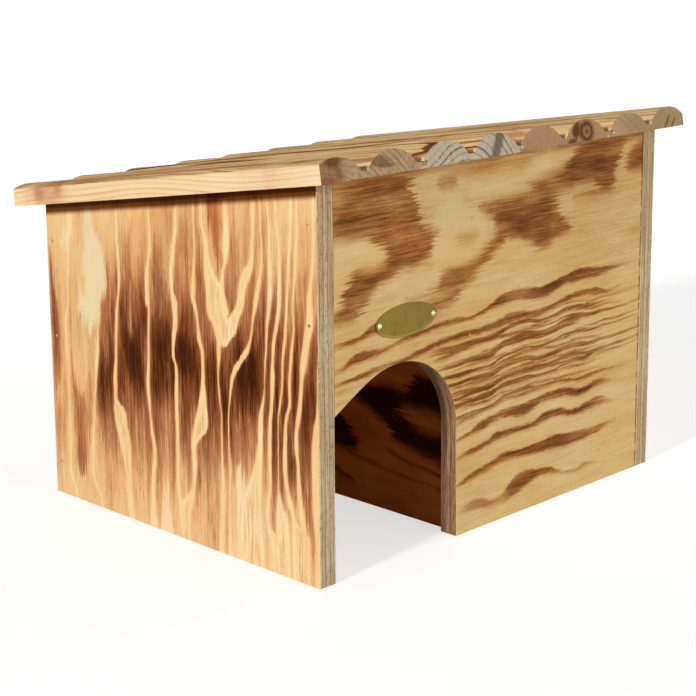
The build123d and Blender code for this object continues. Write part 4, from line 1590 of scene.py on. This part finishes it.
def fit_nails(dark_steel):
    """The nails that show as heads in the front wall and in the two side walls."""
    front = [((FRONT_NAIL_X, FRONT_Y, z), TOWARDS_RIGHT, TOWARDS_FRONT) for z in FRONT_NAIL_HEIGHTS]
    left = side_nail_places(LEFT_X, TOWARDS_LEFT, LEFT_NAIL_HEIGHTS)
    right = side_nail_places(RIGHT_X, TOWARDS_RIGHT, RIGHT_NAIL_HEIGHTS)
    for side, places in (("front", front), ("left", left), ("right", right)):
        nails = copies(model_nail(), f"{side}_nails", places)
        hand_over(nails, "house", dark_steel, f"{side}_wall_nails")


def dress(node, material):
    """Gives a wooden node of the part its finish."""
    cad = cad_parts[node]
    cad.data.materials.clear()
    cad.data.materials.append(material)


def dress_walls():
    dress("left_wall", left_wall_finish())
    dress("front_wall", front_wall_finish())
    dress("right_wall", plain_flamed_finish(
        "flamed_ply_right", upright=True, axis="x", start=RIGHT_X - WALL, seed=31.0, depth=1.0
    ))
    dress("back_wall", plain_flamed_finish(
        "flamed_ply_back", upright=False, axis="y", start=BACK_Y - WALL, seed=47.0, depth=0.9
    ))
    dress("inner_wall", inner_wall_finish())


def dress_roof_boards():
    """Each board's own rings, the knots and stains of its ends, and the smears on its faces.

    A blemish gives its middle (across, above), its half sizes, how it leans, the inner rim of
    a ring or 0 for a spot, its strength and its colour. A smear gives its middle (across,
    along, above), its half sizes, its strength and its colour. All places are in millimetres.
    """
    dress("roof_board_1", roof_board_finish(
        "roof_pine_1", heart=(-186, -34), ring=3.6, tilt=0.02, seed=3.0, contrast=0.30, blush=0.35,
        ends=(shade(202, 169, 130), shade(173, 139, 104), shade(100, 68, 46)), lines=0.60,
        blemishes=[
            ((-190, 6), (15, 18), 0.0, 0.0, 0.55, shade(140, 92, 62)),
            ((-184, 13), (8, 3.5), 0.0, 0.0, 0.7, shade(98, 54, 32)),
            ((-191, 1), (9, 3.5), 0.0, 0.0, 0.6, shade(142, 78, 58)),
            ((-178, 6), (3, 6), -0.3, 0.0, 0.5, shade(128, 86, 58)),
            ((-136, 10), (13, 4), -1.0, 0.0, 0.6, shade(106, 68, 48)),
            ((-128, 6), (9, 1.6), -1.6, 0.0, 0.6, shade(96, 62, 46)),
        ],
        smears=[
            ((-196, 270, 9), (12, 24, 14), 0.65, shade(208, 142, 110)),
            ((-196, 282, 8), (12, 8, 8), 0.55, shade(188, 112, 84)),
            ((-196, 258, 12), (12, 6, 8), 0.5, shade(192, 118, 86)),
            ((-188, 230, 16), (4, 90, 3), 0.6, shade(186, 120, 76)),
        ],
    ))
    dress("roof_board_2", roof_board_finish(
        "roof_pine_2", heart=(-62, -44), ring=4.3, tilt=-0.02, seed=9.0, contrast=0.95, blush=0.15,
        ends=(shade(214, 197, 172), shade(190, 171, 146), shade(100, 78, 60)), lines=0.85,
        blemishes=[((-30, 8), (5, 30), 0.5, 0.0, 0.8, shade(112, 90, 76))],
    ))
    dress("roof_board_3", roof_board_finish(
        "roof_pine_3", heart=(40, -120), ring=1.8, tilt=0.04, seed=14.0, contrast=0.35, blush=0.45,
        ends=(shade(197, 154, 116), shade(178, 134, 98), shade(134, 92, 62)), lines=0.30,
        blemishes=[
            ((61, 9), (5.5, 7), 0.3, 0.0, 0.85, shade(88, 44, 18)),
            ((66.5, 9), (1.8, 10), 0.15, 0.0, 0.8, shade(180, 138, 72)),
            ((75, 7), (9, 8.6), 0.0, 0.62, 0.9, shade(82, 38, 14)),
            ((75, 7), (5.4, 5), 0.0, 0.0, 0.55, shade(158, 98, 70)),
            ((75.5, 7), (2.4, 2), 0.0, 0.0, 0.6, shade(92, 44, 20)),
            ((57, 1), (5, 2.4), 0.0, 0.0, 0.8, shade(92, 50, 22)),
        ],
        smears=[((6, 22, 12), (6, 46, 5), 0.8, shade(178, 92, 74))],
    ))
    dress("roof_board_4", roof_board_finish(
        "roof_pine_4", heart=(66, -36), ring=5.2, tilt=0.03, seed=20.0, contrast=0.25, blush=0.15,
        ends=(shade(200, 171, 132), shade(180, 149, 112), shade(118, 90, 62)), lines=0.50,
        blemishes=[
            ((158, 6), (42, 16), 0.0, 0.0, 0.6, shade(172, 142, 102)),
            ((171, 5), (1.3, 5), 0.8, 0.0, 0.8, shade(84, 58, 24)),
            ((180, 3.5), (1.3, 4), 0.8, 0.0, 0.7, shade(84, 58, 24)),
        ],
    ))


def dress_battens():
    batten_wood = batten_finish()
    dress("roof_batten_front", batten_wood)
    dress("roof_batten_back", batten_wood)


def fit_metalwork():
    """Mixes the four metals, and makes every metal piece in its node's place."""
    brass = metal_finish(
        "satin_brass", bright=shade(130, 111, 46), dull=shade(92, 76, 30),
        brush=(0.06, 2.0, 3.0), rough=0.34, tarnish=0.5,
    )
    pin_brass = metal_finish(
        "polished_brass", bright=shade(240, 222, 158), dull=shade(196, 170, 96),
        brush=(1.0, 1.0, 1.0), rough=0.22, tarnish=0.4,
    )
    steel = metal_finish(
        "zinc_plate", bright=shade(196, 198, 202), dull=shade(120, 122, 126),
        brush=(2.0, 2.0, 0.2), rough=0.38, tarnish=0.6,
    )
    dark_steel = metal_finish(
        "nail_steel", bright=shade(212, 174, 126), dull=shade(130, 98, 66),
        brush=(1.0, 1.0, 1.0), rough=0.5, tarnish=0.8,
    )
    fit_plate(brass, pin_brass)
    fit_hinges(steel)
    fit_screws(steel)
    fit_nails(dark_steel)


place_camera()
hang_sky()
hang_lamps()
lay_floor()
bpy.context.scene.view_settings.view_transform = "Standard"
dress_walls()
dress_roof_boards()
dress_battens()
fit_metalwork()
